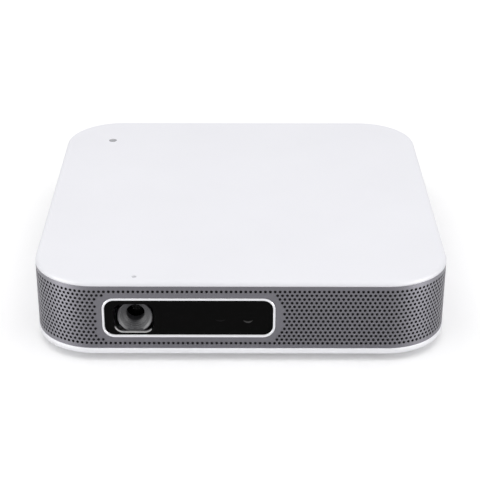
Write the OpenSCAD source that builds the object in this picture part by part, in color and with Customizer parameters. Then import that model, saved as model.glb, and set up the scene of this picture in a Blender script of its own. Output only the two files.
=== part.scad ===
/* [Housing] */
// Width of the housing across the grille band
body_w = 198; // [194:1:220]
// Depth of the housing from front to back
body_d = 198; // [194:1:220]
// Radius of the four upright corners
corner_r = 30; // [29:1:34]
// Gap left between pieces that slip into each other
slip = 0.2; // [0.1:0.05:0.3]
// Gap round a turning or sliding fit, on the radius
running = 0.05; // [0.02:0.01:0.1]

/* [Base] */
// Height that the rubber feet lift the underside
foot_lift = 1.4; // [1:0.1:2.5]
// Thickness of the floor and of the plinth's wall
floor_t = 2; // [1.6:0.1:2.4]
// Distance of the plinth's wall inside the band
plinth_inset = 6; // [5:0.5:7]
// Height of the white lip's lower edge above the table
lip_z = 3.8; // [3.6:0.1:4.4]
// Height of the white lip
lip_h = 3.2; // [2.8:0.1:4]
// Distance that the white lip stands proud of the band
lip_proud = 0.4; // [0:0.1:1]
// Radius on the lower edge of the white lip
lip_round = 1.3; // [0.6:0.1:1.6]
// Height of the ribs that centre the inner frame
rib_h = 3; // [2:0.5:4]
// Thickness of the ribs that centre the inner frame
rib_t = 1.4; // [1:0.1:1.8]
// Distance of the feet and long screws in from the sides
foot_inset = 20; // [19.5:0.5:21]
// Diameter of a rubber foot
foot_d = 14; // [11:0.5:15]
// Depth of the recess that holds a rubber foot
foot_sink = 1.2; // [0.8:0.1:1.4]
// Diameter of a screw post on the base
post_d = 9; // [8:0.5:10]
// Height at which the base posts meet the cover bosses
post_z = 12; // [11:0.5:16]
// Diameter of the long screws
screw_d = 2.5; // [2:0.1:3]
// Length of the long screws under the head
screw_len = 13; // [10:1:16]

/* [Top cover] */
// Height of the cover above the band
cover_h = 2.6; // [2.5:0.1:4]
// Thickness of the cover's flat part
cover_t = 2; // [1.6:0.1:2.4]
// Radius of the cover's outer edge
edge_r = 2.3; // [1:0.1:2.4]
// Depth of the stiffening ribs under the cover
stiff_h = 1.1; // [0.6:0.1:1.4]
// Thickness of the stiffening ribs
stiff_t = 1.2; // [0.8:0.1:1.6]
// Distance between stiffening ribs
stiff_pitch = 26; // [20:1:34]
// Diameter of a screw boss under the cover
boss_d = 7; // [6:0.5:8]

// Distance of the remote receiver's window in from the left side
ir_in = 25.8; // [25:0.1:27]
// Distance of the remote receiver's window in from the rear
ir_back = 28.5; // [27:0.1:30]
// Diameter of the remote receiver's window
ir_d = 4.4; // [3:0.1:5]
// Distance of the status light behind the band's face
light_at = 4.9; // [4.6:0.1:5.2]
// Diameter of the status light
light_d = 2.2; // [1.6:0.1:2.6]

/* [Grille band] */
// Height of the band
band_h = 33.2; // [33:0.1:38]
// Thickness of the band
band_t = 1.2; // [0.8:0.1:1.6]
// Distance between neighbouring holes in a row
hole_pitch = 4.6; // [4.2:0.1:6]
// Diameter of a hole
hole_d = 2.2; // [1.6:0.1:2.2]
// Number of rows of holes
hole_rows = 8; // [6:1:9]
// Distance from the band's edges to the first and last rows
row_margin = 3.1; // [2.8:0.1:4]
// Distance kept between the holes and the edge of an opening
opening_margin = 3; // [2:0.5:5]

/* [Inner frame] */
// Thickness of the ring wall behind the band
frame_t = 1.6; // [1.2:0.1:1.8]
// Width of an air slot
slot_w = 3; // [2:0.5:4]
// Distance between air slots
slot_pitch = 7; // [6:0.5:10]
// Height of an air slot
slot_h = 20; // [12:1:24]

/* [Front window] */
// Width of the white ring
bezel_w = 81.3; // [79:0.1:86]
// Height of the white ring
bezel_h = 20.8; // [20:0.1:23]
// Sideways place of the ring's centre
bezel_x = -24.45; // [-26:0.05:-20]
// Drop of the ring's centre below the band's top edge
bezel_drop = 16.75; // [15:0.05:18]
// Outer corner radius of the ring
bezel_r = 5.8; // [4:0.1:8]
// Thickness of the ring as seen from the front
bezel_t = 1.05; // [0.9:0.05:1.6]
// Distance that the ring stands proud of the band
bezel_proud = 0.3; // [0:0.1:0.8]
// Width of the clamping flange behind the frame
flange_w = 2.2; // [1.5:0.1:2.4]
// Thickness of the clamping flange
flange_t = 1.2; // [1:0.1:1.6]
// Depth from the ring's face to the dark plate
window_depth = 0.8; // [0.6:0.1:1.4]
// Thickness of the dark plate
window_t = 1.2; // [0.8:0.1:1.4]
// Width of the lens cut-out
cutout_w = 20.4; // [19:0.1:21]
// Height of the lens cut-out
cutout_h = 16.3; // [15.5:0.1:16.8]
// Corner radius of the lens cut-out
cutout_r = 5; // [2:0.5:8]

/* [Projection lens] */
// Sideways place of the lens
lens_x = -49.8; // [-51:0.1:-48]
// Drop of the lens axis below the band's top edge
lens_drop = 17.8; // [16.8:0.1:18.2]
// Outer diameter of the hood
hood_d = 17.8; // [17:0.1:18.4]
// Diameter of the hood's mouth
hood_mouth_d = 16.2; // [15:0.1:16.4]
// Diameter of the hood's throat
hood_throat_d = 8.5; // [7:0.1:9.4]
// Length of the hood's straight throat
throat_t = 1.9; // [1:0.1:3]
// Number of light-catching steps in the hood
hood_steps = 4; // [2:1:6]
// Diameter of the first glass
front_glass_d = 11.2; // [10:0.1:12]
// Distance from the band's face to the barrel's nose
barrel_at = 10.8; // [10.8:0.1:11.4]
// Length of the barrel
barrel_len = 41.7; // [41.7:0.1:44]
// Outer diameter of the barrel where the focus ring runs
barrel_d = 21.2; // [20.6:0.1:21.4]
// Diameter of the bore that guides the carriage
guide_d = 16.2; // [15.6:0.1:16.6]
// Side of the barrel's square rear flange
barrel_flange = 28; // [26:1:29]

/* [Focus drive] */
// Size of the gear teeth, as pitch diameter over tooth count
gear_module = 0.6; // [0.58:0.01:0.62]
// Teeth on the focus ring
ring_teeth = 48; // [48:1:49]
// Teeth on the pinion
pinion_teeth = 12; // [10:1:14]
// Distance from the band's face to the focus ring
ring_at = 25; // [25:0.1:26]
// Length of the focus ring
ring_len = 16; // [15:0.5:17]
// Length of the toothed part
tooth_len = 8; // [6:0.5:10]
// Travel of the lens carriage
focus_travel = 2.4; // [1:0.1:2.6]
// Direction of the pinion from the lens axis, below the horizontal
pinion_angle = 20; // [16:1:24]
// Diameter of the focus motor
motor_d = 10; // [8:0.5:10.5]
// Length of the focus motor
motor_len = 12; // [10:0.5:13]

/* [Light engine] */
// Height of the engine's underside
engine_z = 6; // [5:0.5:7]
// Height of the engine housing without its lid
engine_h = 28; // [26:0.5:28]
// Thickness of the engine's walls
engine_t = 2; // [1.6:0.1:2.4]
// Thickness of the engine's lid
lid_t = 2; // [1.5:0.1:2.5]
// Inside width of the prism chamber
prism_w = 30; // [28:0.5:32]
// Inside depth of the prism chamber
prism_d = 26; // [24:0.5:28]
// Inside width of the lamp tunnel
tunnel_w = 22; // [20:0.5:23]
// Inside depth of the lamp tunnel
tunnel_d = 56; // [54:0.5:58]
// Diameter of the light ports
port_d = 14; // [12:0.5:15]
// Side of a lamp's copper plate
lamp_side = 18; // [16:0.5:20]
// Thickness of a lamp's copper plate
lamp_t = 1.6; // [1:0.1:2]

/* [Cooling] */
// Diameter of a heat pipe
pipe_d = 5; // [4:0.5:6]
// Radius of a heat pipe's bend
pipe_bend = 8; // [7:0.5:9]
// Thickness of the heat spreaders from plate to pipe centre
spreader_t = 8; // [7:0.5:9]
// Height between neighbouring heat pipes
pipe_step = 6; // [6:0.5:7]
// Gap between the fin stack and the right wall
fins_gap = 8; // [7:0.5:9]
// Width of a fin
fin_w = 16; // [14:0.5:17]
// Height of a fin
fin_h = 26; // [22:0.5:28]
// Thickness of a fin
fin_t = 0.5; // [0.3:0.1:0.8]
// Distance between fins
fin_pitch = 2.4; // [2:0.1:4]
// Length of the fin stack
fins_len = 48; // [40:1:50]
// Height of the fins' and blower's underside
cooler_z = 9; // [8.5:0.5:10]
// Diameter of the blower rotor
rotor_d = 41; // [36:0.5:42]
// Number of blades
blades = 31; // [21:2:37]
// Height of the blower housing
blower_h = 22; // [20:0.5:24]
// Thickness of the blower's walls
blower_t = 1.2; // [1:0.1:1.6]

/* [Boards] */
// Width of the main board
board_w = 120; // [116:1:122]
// Depth of the main board
board_d = 62; // [58:1:64]
// Height of the main board's underside
board_z = 14.6; // [14:0.1:15]
// Thickness of the boards
board_t = 1.6; // [1:0.1:1.8]
// Height of the power board's underside
power_z = 9; // [7:0.5:11]

/* [Rear ports] */
// Width of the rear panel
panel_w = 96; // [94:1:104]
// Distance that the rear panel is set back from the band
panel_back = 0.5; // [0.2:0.1:0.8]
// Sideways place of the round data port
usb_c_x = -36; // [-37:0.5:-35]
// Sideways place of the video port
hdmi_x = -20; // [-21:0.5:-19]
// Sideways place of the flat data port
usb_a_x = -1; // [-2:0.5:0]
// Sideways place of the sound socket
audio_x = 13; // [12.5:0.5:13.5]
// Bore of the sound socket
audio_bore_d = 3.6; // [3.55:0.05:3.7]
// Sideways place of the power socket
dc_x = 25; // [24.5:0.5:25.5]
// Bore of the power socket
dc_bore_d = 6.2; // [5.8:0.1:6.6]
// Sideways place of the power button
button_x = 38; // [37.5:0.5:39]
// Diameter of the power button
button_d = 9.8; // [8:0.1:11]
// Travel of the power button
button_travel = 0.8; // [0.5:0.1:1]

/* [Speakers] */
// Length of a speaker box along the side wall
speaker_len = 43; // [40:1:44]
// Width of a speaker box
speaker_w = 27; // [25:1:28]
// Height of a speaker box
speaker_h = 29; // [28:0.5:30]
// Diameter of the speaker's cone
cone_d = 21; // [18:0.5:21.5]
// Travel of the speaker's cone each way
cone_travel = 0.5; // [0.2:0.1:0.8]
// Diameter of the speaker's magnet
magnet_d = 19.6; // [16:0.2:20]
// Length of the speaker's magnet
magnet_t = 6; // [5:0.5:8]
// Depth of the speaker's basket in front of the magnet
basket_t = 6; // [5.5:0.5:7]
// Diameter of the voice coil
coil_d = 9.8; // [8:0.2:11]

/* [Underside] */
// Width of the tilt foot
tilt_w = 40; // [34:1:42]
// Length of the tilt foot
tilt_len = 26; // [22:1:27]
// Thickness of the tilt foot
tilt_t = 2; // [1.6:0.1:2.2]
// Diameter of the tilt foot's pin
tilt_pin_d = 2; // [1.6:0.1:2.2]
// Distance of the tilt foot's pin behind the front face
tilt_at = 15; // [14:0.5:16]
// Bore of the tripod thread before it is cut
tripod_bore_d = 5.2; // [5:0.05:5.3]
// Depth of the tripod thread
tripod_depth = 8.6; // [7:0.1:8.8]

/* [Hidden] */
$fn = 48;
big_fn = 96;

// Colours
white = [0.94, 0.94, 0.96];
band_grey = [0.42, 0.42, 0.44];
black = [0.06, 0.06, 0.07];
dark_grey = [0.2, 0.2, 0.22];
mid_grey = [0.5, 0.5, 0.52];
metal = [0.75, 0.76, 0.78];
copper = [0.78, 0.46, 0.3];
brass = [0.8, 0.66, 0.36];
board_green = [0.05, 0.3, 0.18];
glass = [0.7, 0.8, 0.9, 0.5];

// Heights, from the table up
plinth_z = foot_lift;
floor_z = plinth_z + floor_t;
band_z = lip_z + lip_h;
band_top = band_z + band_h;
top_z = band_top + cover_h;
roof_z = top_z - cover_t;
window_z = band_top - bezel_drop;
lens_z = band_top - lens_drop;

// Distances out from the corner centres, band to ribs
band_in = corner_r - band_t;
frame_out = band_in - slip;
frame_in = frame_out - frame_t;
rib_out = frame_in - slip;
rib_in = rib_out - rib_t;
plinth_r = corner_r - plinth_inset;
front_y = -body_d / 2;
rear_y = body_d / 2;
inside_x = body_w / 2 - corner_r + frame_in;
inside_y = body_d / 2 - corner_r + frame_in;

function behind_front(s) = front_y + s;
// Places of four posts, as x, y and top height, in from the corners of a rectangle
function grid_of_four(x, y, w, d, inset, z) = [
  for (sx = [-1, 1], sy = [-1, 1]) [x + sx * (w / 2 - inset), y + sy * (d / 2 - inset), z]
];

// Base, screws and underside
foot_wall = 2;
head_seat = plinth_z + foot_sink + 2.8;
screw_top = head_seat + screw_len;
insert_d = 8.4;
insert_top = plinth_z + 9;
tripod_boss_d = 11.4;
tripod_top = insert_top + 1.5;
tilt_y = behind_front(tilt_at);
knuckle_r = tilt_pin_d / 2 + 0.6;
tilt_z = plinth_z + 0.1 + knuckle_r;
tilt_front = knuckle_r + 0.8;
tilt_roof = tilt_z + knuckle_r + 0.5;
tilt_pin_end = 2.5;
notch_w = 16;
notch_l = 7;

// Signal parts under the cover
ir_x = -body_w / 2 + ir_in;
ir_y = rear_y - ir_back;
ir_flange_d = ir_d + 2;
light_flange_d = light_d + 1.6;
light_y = behind_front(light_at);
signal_w = 11;
signal_post_d = 2.6;
ir_board_z = roof_z - 5.2;
light_board_z = roof_z - 3.8;
signal_posts = [
  [ir_x - 5, ir_y, ir_board_z + 1], [ir_x + 5, ir_y, ir_board_z + 1],
  [lens_x - 3.5, light_y + 5, light_board_z + 0.5], [lens_x + 3.5, light_y + 5, light_board_z + 0.5]
];

// Front window and lens
frame_back = -inside_y;
face_back = front_y - bezel_proud + window_depth + window_t;
cutout_z = window_z + slip;
sensor_x = bezel_x + 21;
camera_dx = 6.5;
ranger_dx = -5.2;
barrel_y = behind_front(barrel_at);
hood_y0 = face_back + 2 * running;
hood_y1 = barrel_y - 2 * running;
hood_floor = window_z - bezel_h / 2 + bezel_t + running;
rear_glass_d = guide_d - 2.1;
rear_seat = 5;
front_seat = 3.8;
stop_t = 2;
stop_r = guide_d / 2 - 3.1;
shoulder_r = barrel_d / 2 + 1.8;
carriage_glass_d = guide_d - 3.4;
carriage_len = 10;
ring_y = behind_front(ring_at);
ring_r = barrel_d / 2 + 2.6;
tooth_y = ring_y + (ring_len - tooth_len) / 2;
clip_y = ring_y + ring_len + 0.1;
clip_t = 1.1;
clip_groove = 0.6;
key_y = ring_y + 5;
key_len = 2.6;
key_w = 2.8;
key_r = barrel_d / 2 + 0.6;
gear_gap = gear_module * (ring_teeth + pinion_teeth) / 2;
pinion_x = lens_x + gear_gap * cos(pinion_angle);
pinion_z = lens_z - gear_gap * sin(pinion_angle);
motor_gap = 0.5;
motor_y = ring_y - motor_gap;
shaft_d = 1.5;
shaft_in = 5;
nose_d = 4;

// Light engine
engine_y = barrel_y + barrel_len;
prism_x0 = lens_x - prism_w / 2 - engine_t;
tunnel_x0 = prism_x0 + prism_w + 2 * engine_t;
lamp_x = tunnel_x0 + tunnel_w + 2 * engine_t;
green_x = tunnel_x0 + engine_t + tunnel_w / 2;
green_y = engine_y + tunnel_d + 2 * engine_t;
blue_y = engine_y + engine_t + 14;
red_y = blue_y + 28;
dmd_y = engine_y + prism_d + 2 * engine_t;
engine_feet = [
  [prism_x0 + 6, engine_y + 6, 0], [prism_x0 + 6, dmd_y - 6, 0],
  [green_x, engine_y + 8, 0], [green_x, green_y - 8, 0]
];

// Cooling
side_pipe_x = lamp_x + lamp_t + spreader_t;
spread_y0 = blue_y - lamp_side / 2 - 1;
spread_y1 = red_y + lamp_side / 2 + 1;
rear_pipe_y = green_y + lamp_t + spreader_t - 1;
fins_x = inside_x - fins_gap - fin_w / 2;
fins_y0 = behind_front(39);
bend_y = fins_y0 - 2;
run_y = bend_y - pipe_bend;
blower_r = rotor_d / 2 + 5;
blower_mouth = 4.5;
blower_x = fins_x - fin_w / 2 - blower_mouth - blower_r;
blower_y = fins_y0 + 26;
inlet_d = rotor_d * 0.74;
hub_d = 18;
axle_d = 3;
bearing_d = 6.4;
bearing_h = 8;

// Boards
board_y = rear_y - 7 - board_d / 2;
board_top = board_z + board_t;
main_posts = grid_of_four(0, board_y, board_w, board_d, 5, board_z);
power_x = -inside_x + 14;
power_y = behind_front(76);
power_size = [20, 74];
coil_side = 13;
coil_h = 9;
capacitor_d = 7.5;
capacitor_h = 14;
power_posts = grid_of_four(power_x, power_y, power_size[0], power_size[1], 3.5, power_z);

// Rear ports
panel_face = rear_y - panel_back;
port_y = panel_face - 0.3;
panel_in = inside_y - flange_t;
hdmi_size = [14.9, 5.5];
usb_a_size = [13.1, 5.7];
usb_c_size = [8.9, 3.2];
audio_body = 6.4;
dc_body = 9.4;
audio_z = board_top + audio_body / 2;
dc_z = board_top + 5.6;
button_flange_d = button_d + 2.6;
stem_d = 4;
stem_end = panel_in - 4.4;
plunger_d = 3;
plunger_len = 3.4;
switch_w = 7;
switch_t = 5;
switch_face = stem_end - 1;

// Speakers
basket_rim_t = 1.2;
speaker_face = body_w / 2 - corner_r + plinth_r - floor_t - basket_rim_t - slip;
speaker_y = rear_y - foot_inset - foot_d / 2 - foot_wall - slip - speaker_len / 2;
speaker_z = floor_z + speaker_h / 2;
speaker_wall = 1.6;
cone_r = cone_d / 2;
coil_wall = 0.4;
coil_gap = 0.4;
groove_end = basket_t + magnet_t - 1;

// Plain helpers
module rounded_rect(w, h, r) {
  square([w - 2 * r, h], center = true);
  square([w, h - 2 * r], center = true);
  for (x = [-1, 1], y = [-1, 1])
    translate([x * (w / 2 - r), y * (h / 2 - r)])
      circle(r);
}

module quarter_disc(r) {
  intersection() {
    circle(r, $fn = big_fn);
    square(r);
  }
}

// Sweeps a profile, drawn outward from the corner centre, round the housing's plan
module around_plan() {
  for (i = [0:3]) {
    reach = (i % 2 == 0 ? body_w : body_d) / 2 - corner_r;
    run = (i % 2 == 0 ? body_d : body_w) - 2 * corner_r;
    rotate([0, 0, 90 * i]) {
      translate([reach, run / 2, 0])
        rotate([90, 0, 0])
          linear_extrude(run)
            children();
      translate([reach, run / 2, 0])
        rotate_extrude(angle = 90, $fn = big_fn)
          children();
    }
  }
}

// A rounded-square slab of the housing's plan, drawn in from the band by an inset
module plan_slab(inset, z0, z1) {
  translate([0, 0, z0])
    linear_extrude(z1 - z0)
      rounded_rect(body_w - 2 * inset, body_d - 2 * inset, corner_r - inset, $fn = big_fn);
}

// Extrudes a drawing of the front view from one depth to another
module front_view(y0, y1) {
  translate([0, y1, 0])
    rotate([90, 0, 0])
      linear_extrude(y1 - y0)
        children();
}

// Turns a profile of radius and depth round the lens axis
module on_lens_axis() {
  translate([lens_x, 0, lens_z])
    rotate([-90, 0, 0])
      rotate_extrude()
        children();
}

module at_feet() {
  for (x = [-1, 1], y = [-1, 1])
    translate([x * (body_w / 2 - foot_inset), y * (body_d / 2 - foot_inset), 0])
      children();
}

module hole(d, z0, z1) {
  translate([0, 0, z0])
    cylinder(d = d, h = z1 - z0);
}

// ---- Housing ----

module cover_profile() {
  shoulder = corner_r - edge_r;
  translate([rib_in, band_top])
    square([shoulder - rib_in, cover_h]);
  translate([shoulder, band_top])
    square([edge_r, cover_h - edge_r]);
  translate([shoulder, top_z - edge_r])
    quarter_disc(edge_r);
  translate([rib_in, band_top - rib_h])
    square([rib_out - rib_in, rib_h]);
}

module stiffening_ribs() {
  count = floor(inside_x / stiff_pitch - 0.4);
  intersection() {
    plan_slab(corner_r - rib_in - slip, roof_z - stiff_h, roof_z + 0.5);
    union()
      for (i = [-count:count]) {
        translate([i * stiff_pitch - stiff_t / 2, -inside_y, roof_z - stiff_h])
          cube([stiff_t, 2 * inside_y, stiff_h + 0.5]);
        translate([-inside_x, i * stiff_pitch - stiff_t / 2, roof_z - stiff_h])
          cube([2 * inside_x, stiff_t, stiff_h + 0.5]);
      }
  }
}

module top_cover() {
  color(white)
    difference() {
      union() {
        plan_slab(corner_r - rib_in, roof_z, top_z);
        around_plan() cover_profile();
        stiffening_ribs();
        at_feet() hole(boss_d, post_z + running, roof_z + 0.5);
        for (p = signal_posts)
          translate([p[0], p[1], 0]) hole(signal_post_d, p[2], roof_z + 0.5);
      }
      at_feet() hole(screw_d + 2 * running, post_z - 1, screw_top + 1.5);
      translate([ir_x, ir_y, 0]) {
        hole(ir_d + 2 * running, roof_z - 5, top_z + 1);
        hole(ir_flange_d + 2 * slip, roof_z - 5, roof_z);
      }
      translate([lens_x, light_y, 0]) {
        hole(light_d + 2 * running, roof_z - 5, top_z + 1);
        hole(light_flange_d + 2 * slip, roof_z - 5, roof_z);
        translate([-signal_w / 2 - slip, -3, band_top - rib_h - 1])
          cube([signal_w + 2 * slip, 3 + rib_t, rib_h + 1]);
      }
    }
}

module base_rim_profile() {
  lip_r = corner_r + lip_proud;
  chamfer = 0.4;
  polygon([
    [plinth_r - floor_t, plinth_z], [plinth_r, plinth_z], [plinth_r, lip_z],
    [lip_r - lip_round, lip_z], [lip_r - lip_round, lip_z + lip_round], [lip_r, lip_z + lip_round],
    [lip_r, band_z - chamfer], [lip_r - chamfer, band_z], [rib_out, band_z],
    [rib_out, band_z + rib_h], [rib_in, band_z + rib_h], [rib_in, lip_z + floor_t],
    [plinth_r - floor_t, lip_z + floor_t]
  ]);
  translate([lip_r - lip_round, lip_z + lip_round])
    mirror([0, 1])
      quarter_disc(lip_round);
}

module base_posts() {
  for (p = main_posts)
    translate([p[0], p[1], 0]) hole(6, floor_z - 0.5, p[2]);
  for (p = power_posts)
    translate([p[0], p[1], 0]) hole(5, floor_z - 0.5, p[2]);
  for (p = engine_feet)
    translate([p[0], p[1], 0]) hole(8, floor_z - 0.5, engine_z);
  for (a = [30:120:270])
    translate([blower_x + 23 * cos(a), blower_y + 23 * sin(a), 0]) hole(5, floor_z - 0.5, cooler_z);
  for (y = [0.15, 0.85])
    translate([fins_x - fin_w / 2 + 2, fins_y0 + y * fins_len - 1, floor_z - 0.5])
      cube([fin_w - 4, 2, cooler_z - floor_z + 0.5]);
}

module tilt_pocket() {
  translate([-tilt_w / 2 - slip, tilt_y - tilt_front, plinth_z - 1])
    cube([tilt_w + 2 * slip, tilt_front + tilt_len + slip, tilt_roof - plinth_z + 1]);
  translate([-notch_w / 2, tilt_y + tilt_len, plinth_z - 1])
    cube([notch_w, notch_l, tilt_roof + 0.7 - plinth_z + 1]);
  translate([0, tilt_y, tilt_z])
    rotate([0, 90, 0])
      cylinder(d = tilt_pin_d + 0.02, h = tilt_w + 2 * tilt_pin_end + 2 * slip, center = true);
}

module base_vents() {
  vent_w = 2.4;
  reach = 19;
  for (i = [-3:3])
    translate([blower_x + i * 5, blower_y, plinth_z - 1])
      linear_extrude(floor_t + 2)
        rounded_rect(vent_w, 2 * sqrt(reach * reach - pow(i * 5, 2)), vent_w / 2 - 0.05);
}

module base_tray() {
  color(white)
    difference() {
      union() {
        plan_slab(corner_r - plinth_r + floor_t, plinth_z, floor_z);
        around_plan() base_rim_profile();
        at_feet() {
          hole(foot_d + 2 * foot_wall, plinth_z + 0.2, floor_z + foot_sink);
          hole(post_d, plinth_z + foot_sink + 0.2, post_z);
        }
        base_posts();
        hole(tripod_boss_d, plinth_z + 0.2, tripod_top);
        translate([-tilt_w / 2 - 4, tilt_y - tilt_front - 2, plinth_z + 0.2])
          cube([tilt_w + 8, tilt_front + tilt_len + notch_l + 4, tilt_roof + 2 - plinth_z]);
      }
      at_feet() {
        hole(foot_d + slip, plinth_z - 1, plinth_z + foot_sink);
        hole(2 * screw_d + 0.6, plinth_z, head_seat);
        hole(screw_d + 2 * slip, plinth_z, post_z + 1);
      }
      for (p = main_posts)
        translate([p[0], p[1], 0]) hole(2 + 2 * running, board_z - 6, board_z + 1);
      hole(insert_d + 2 * running, plinth_z - 1, insert_top);
      tilt_pocket();
      base_vents();
    }
}

// A band of wall with openings and a pattern, in four flat sides and four corners
module flat_side(i, thick, outer, z0, z1) {
  reach = (i % 2 == 0 ? body_w : body_d) / 2 - corner_r + outer - thick;
  run = (i % 2 == 0 ? body_d : body_w) - 2 * corner_r;
  translate([reach, 0, 0])
    rotate([90, 0, 90])
      linear_extrude(thick)
        difference() {
          translate([-run / 2, z0]) square([run, z1 - z0]);
          if (i == 3)
            translate([bezel_x, window_z])
              rounded_rect(bezel_w + slip, bezel_h + slip, bezel_r);
          if (i == 1)
            translate([0, window_z])
              rounded_rect(panel_w + slip, bezel_h + slip, bezel_r);
          children();
        }
}

// True where a hole at pos and z stays clear of the opening on side i
function clear_of_opening(i, pos, z) =
  i % 2 == 0 || abs(z - window_z) > bezel_h / 2 + hole_d / 2 + 0.6 ||
  abs(pos - (i == 3 ? bezel_x : 0)) > (i == 3 ? bezel_w : panel_w) / 2 + opening_margin + hole_d / 2;

module grille_band() {
  row_step = (band_h - 2 * row_margin) / (hole_rows - 1);
  color(band_grey)
    for (i = [0:3])
      rotate([0, 0, 90 * i]) {
        reach = (i % 2 == 0 ? body_w : body_d) / 2 - corner_r;
        run = (i % 2 == 0 ? body_d : body_w) - 2 * corner_r;
        flat_count = round(run / hole_pitch);
        turn_count = round(corner_r * PI / 2 / hole_pitch);
        flat_side(i, band_t, corner_r, band_z, band_top)
          for (row = [0:hole_rows - 1], k = [0:flat_count - 1]) {
            pos = -run / 2 + (k + (row % 2 == 0 ? 0.25 : 0.75)) * run / flat_count;
            z = band_z + row_margin + row * row_step;
            if (clear_of_opening(i, pos, z))
              translate([pos, z]) circle(d = hole_d, $fn = 20);
          }
        translate([reach, run / 2, 0])
          difference() {
            rotate_extrude(angle = 90, $fn = big_fn)
              translate([band_in, band_z])
                square([band_t, band_h]);
            for (row = [0:hole_rows - 1], k = [0:turn_count - 1])
              rotate([0, 0, (k + (row % 2 == 0 ? 0.25 : 0.75)) * 90 / turn_count])
                translate([band_in - 1, 0, band_z + row_margin + row * row_step])
                  rotate([0, 90, 0])
                    cylinder(d = hole_d, h = band_t + 2, $fn = 20);
          }
      }
}

module inner_frame() {
  color(black)
    for (i = [0:3])
      rotate([0, 0, 90 * i]) {
        reach = (i % 2 == 0 ? body_w : body_d) / 2 - corner_r;
        run = (i % 2 == 0 ? body_d : body_w) - 2 * corner_r;
        count = floor((run / 2 - slot_w) / slot_pitch);
        flat_side(i, frame_t, frame_out, band_z, band_top - running)
          if (i % 2 == 0)
            for (k = [-count:count])
              translate([k * slot_pitch, window_z])
                rounded_rect(slot_w, slot_h, slot_w / 2 - 0.05);
        translate([reach, run / 2, 0])
          rotate_extrude(angle = 90, $fn = big_fn)
            translate([frame_in, band_z])
              square([frame_t, band_h - running]);
      }
}

// ---- Front window ----

module window_bezel() {
  hollow_w = bezel_w - 2 * bezel_t;
  hollow_h = bezel_h - 2 * bezel_t;
  color(white)
    translate([bezel_x, 0, window_z])
      difference() {
        union() {
          front_view(front_y - bezel_proud, frame_back + flange_t)
            rounded_rect(bezel_w, bezel_h, bezel_r);
          front_view(frame_back + running, frame_back + flange_t)
            rounded_rect(bezel_w + 2 * flange_w, bezel_h + 2 * flange_w, bezel_r + flange_w);
        }
        front_view(front_y - 1, frame_back + flange_t + 1)
          rounded_rect(hollow_w, hollow_h, bezel_r - bezel_t);
      }
}

module front_window() {
  outer_w = bezel_w - 2 * bezel_t - 2 * running;
  outer_h = bezel_h - 2 * bezel_t - 2 * running;
  rim = 0.8;
  face_y = front_y - bezel_proud + window_depth;
  color(black)
    difference() {
      translate([bezel_x, 0, window_z])
        difference() {
          front_view(front_y - bezel_proud + 0.2, face_y + window_t)
            rounded_rect(outer_w, outer_h, bezel_r - bezel_t - running);
          front_view(front_y - 2, face_y)
            rounded_rect(outer_w - 2 * rim, outer_h - 2 * rim, bezel_r - bezel_t - rim);
        }
      translate([lens_x, 0, cutout_z])
        front_view(face_y - 1, face_y + window_t + 1)
          rounded_rect(cutout_w, cutout_h, cutout_r);
    }
}

module sensor_board() {
  card_y = face_back + 2.4;
  color(board_green)
    translate([sensor_x, 0, window_z])
      front_view(card_y, card_y + 1)
        rounded_rect(30, 14, 1);
  color(black)
    translate([sensor_x, 0, window_z]) {
      for (x = [-13, 13])
        translate([x, 0, 0])
          front_view(face_back + running, card_y) circle(d = 3);
      translate([camera_dx, 0, 1.5]) {
        front_view(card_y - 1.2, card_y) square(6.5, center = true);
        front_view(face_back + 0.4, card_y - 1.2) circle(d = 5);
      }
      translate([ranger_dx, 0, 1.5])
        front_view(card_y - 1.6, card_y) square([4.8, 3], center = true);
    }
}

// ---- Projection lens ----

module lens_hood() {
  step_in = (hood_mouth_d - hood_throat_d) / 2 / hood_steps;
  throat_y = hood_y1 - throat_t;
  step_y = (throat_y - hood_y0) / hood_steps;
  color(mid_grey)
    difference() {
      on_lens_axis()
        polygon(concat(
          [[hood_d / 2, hood_y1], [hood_d / 2, hood_y0]],
          [for (i = [0:hood_steps - 1], k = [0, 1])
            [hood_mouth_d / 2 - step_in * (i + 0.45 * k), hood_y0 + step_y * (i + k)]],
          [[hood_throat_d / 2, throat_y], [hood_throat_d / 2, hood_y1]]
        ));
      // A flat below, to clear the white ring
      translate([lens_x - hood_d, hood_y0 - 1, hood_floor - hood_d])
        cube([2 * hood_d, hood_y1 - hood_y0 + 2, hood_d]);
    }
}

// Half of a lens in section: radius r, edge thickness t, bulges b0 at the front and b1 behind
module lens_section(r, t, b0, b1) {
  square([r, t]);
  if (b0 > 0)
    bulge(r - 0.8, b0);
  if (b1 > 0)
    translate([0, t]) mirror([0, 1]) bulge(r - 0.8, b1);
}

module bulge(r, b) {
  big = (r * r + b * b) / (2 * b);
  intersection() {
    translate([0, big - b]) circle(big, $fn = big_fn);
    translate([0, -b]) square([r, b]);
  }
}

module front_lens() {
  color(glass)
    on_lens_axis()
      translate([0, barrel_y + 0.9])
        lens_section(front_glass_d / 2 - running, 2.6, 1.3, 0.8);
}

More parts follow.
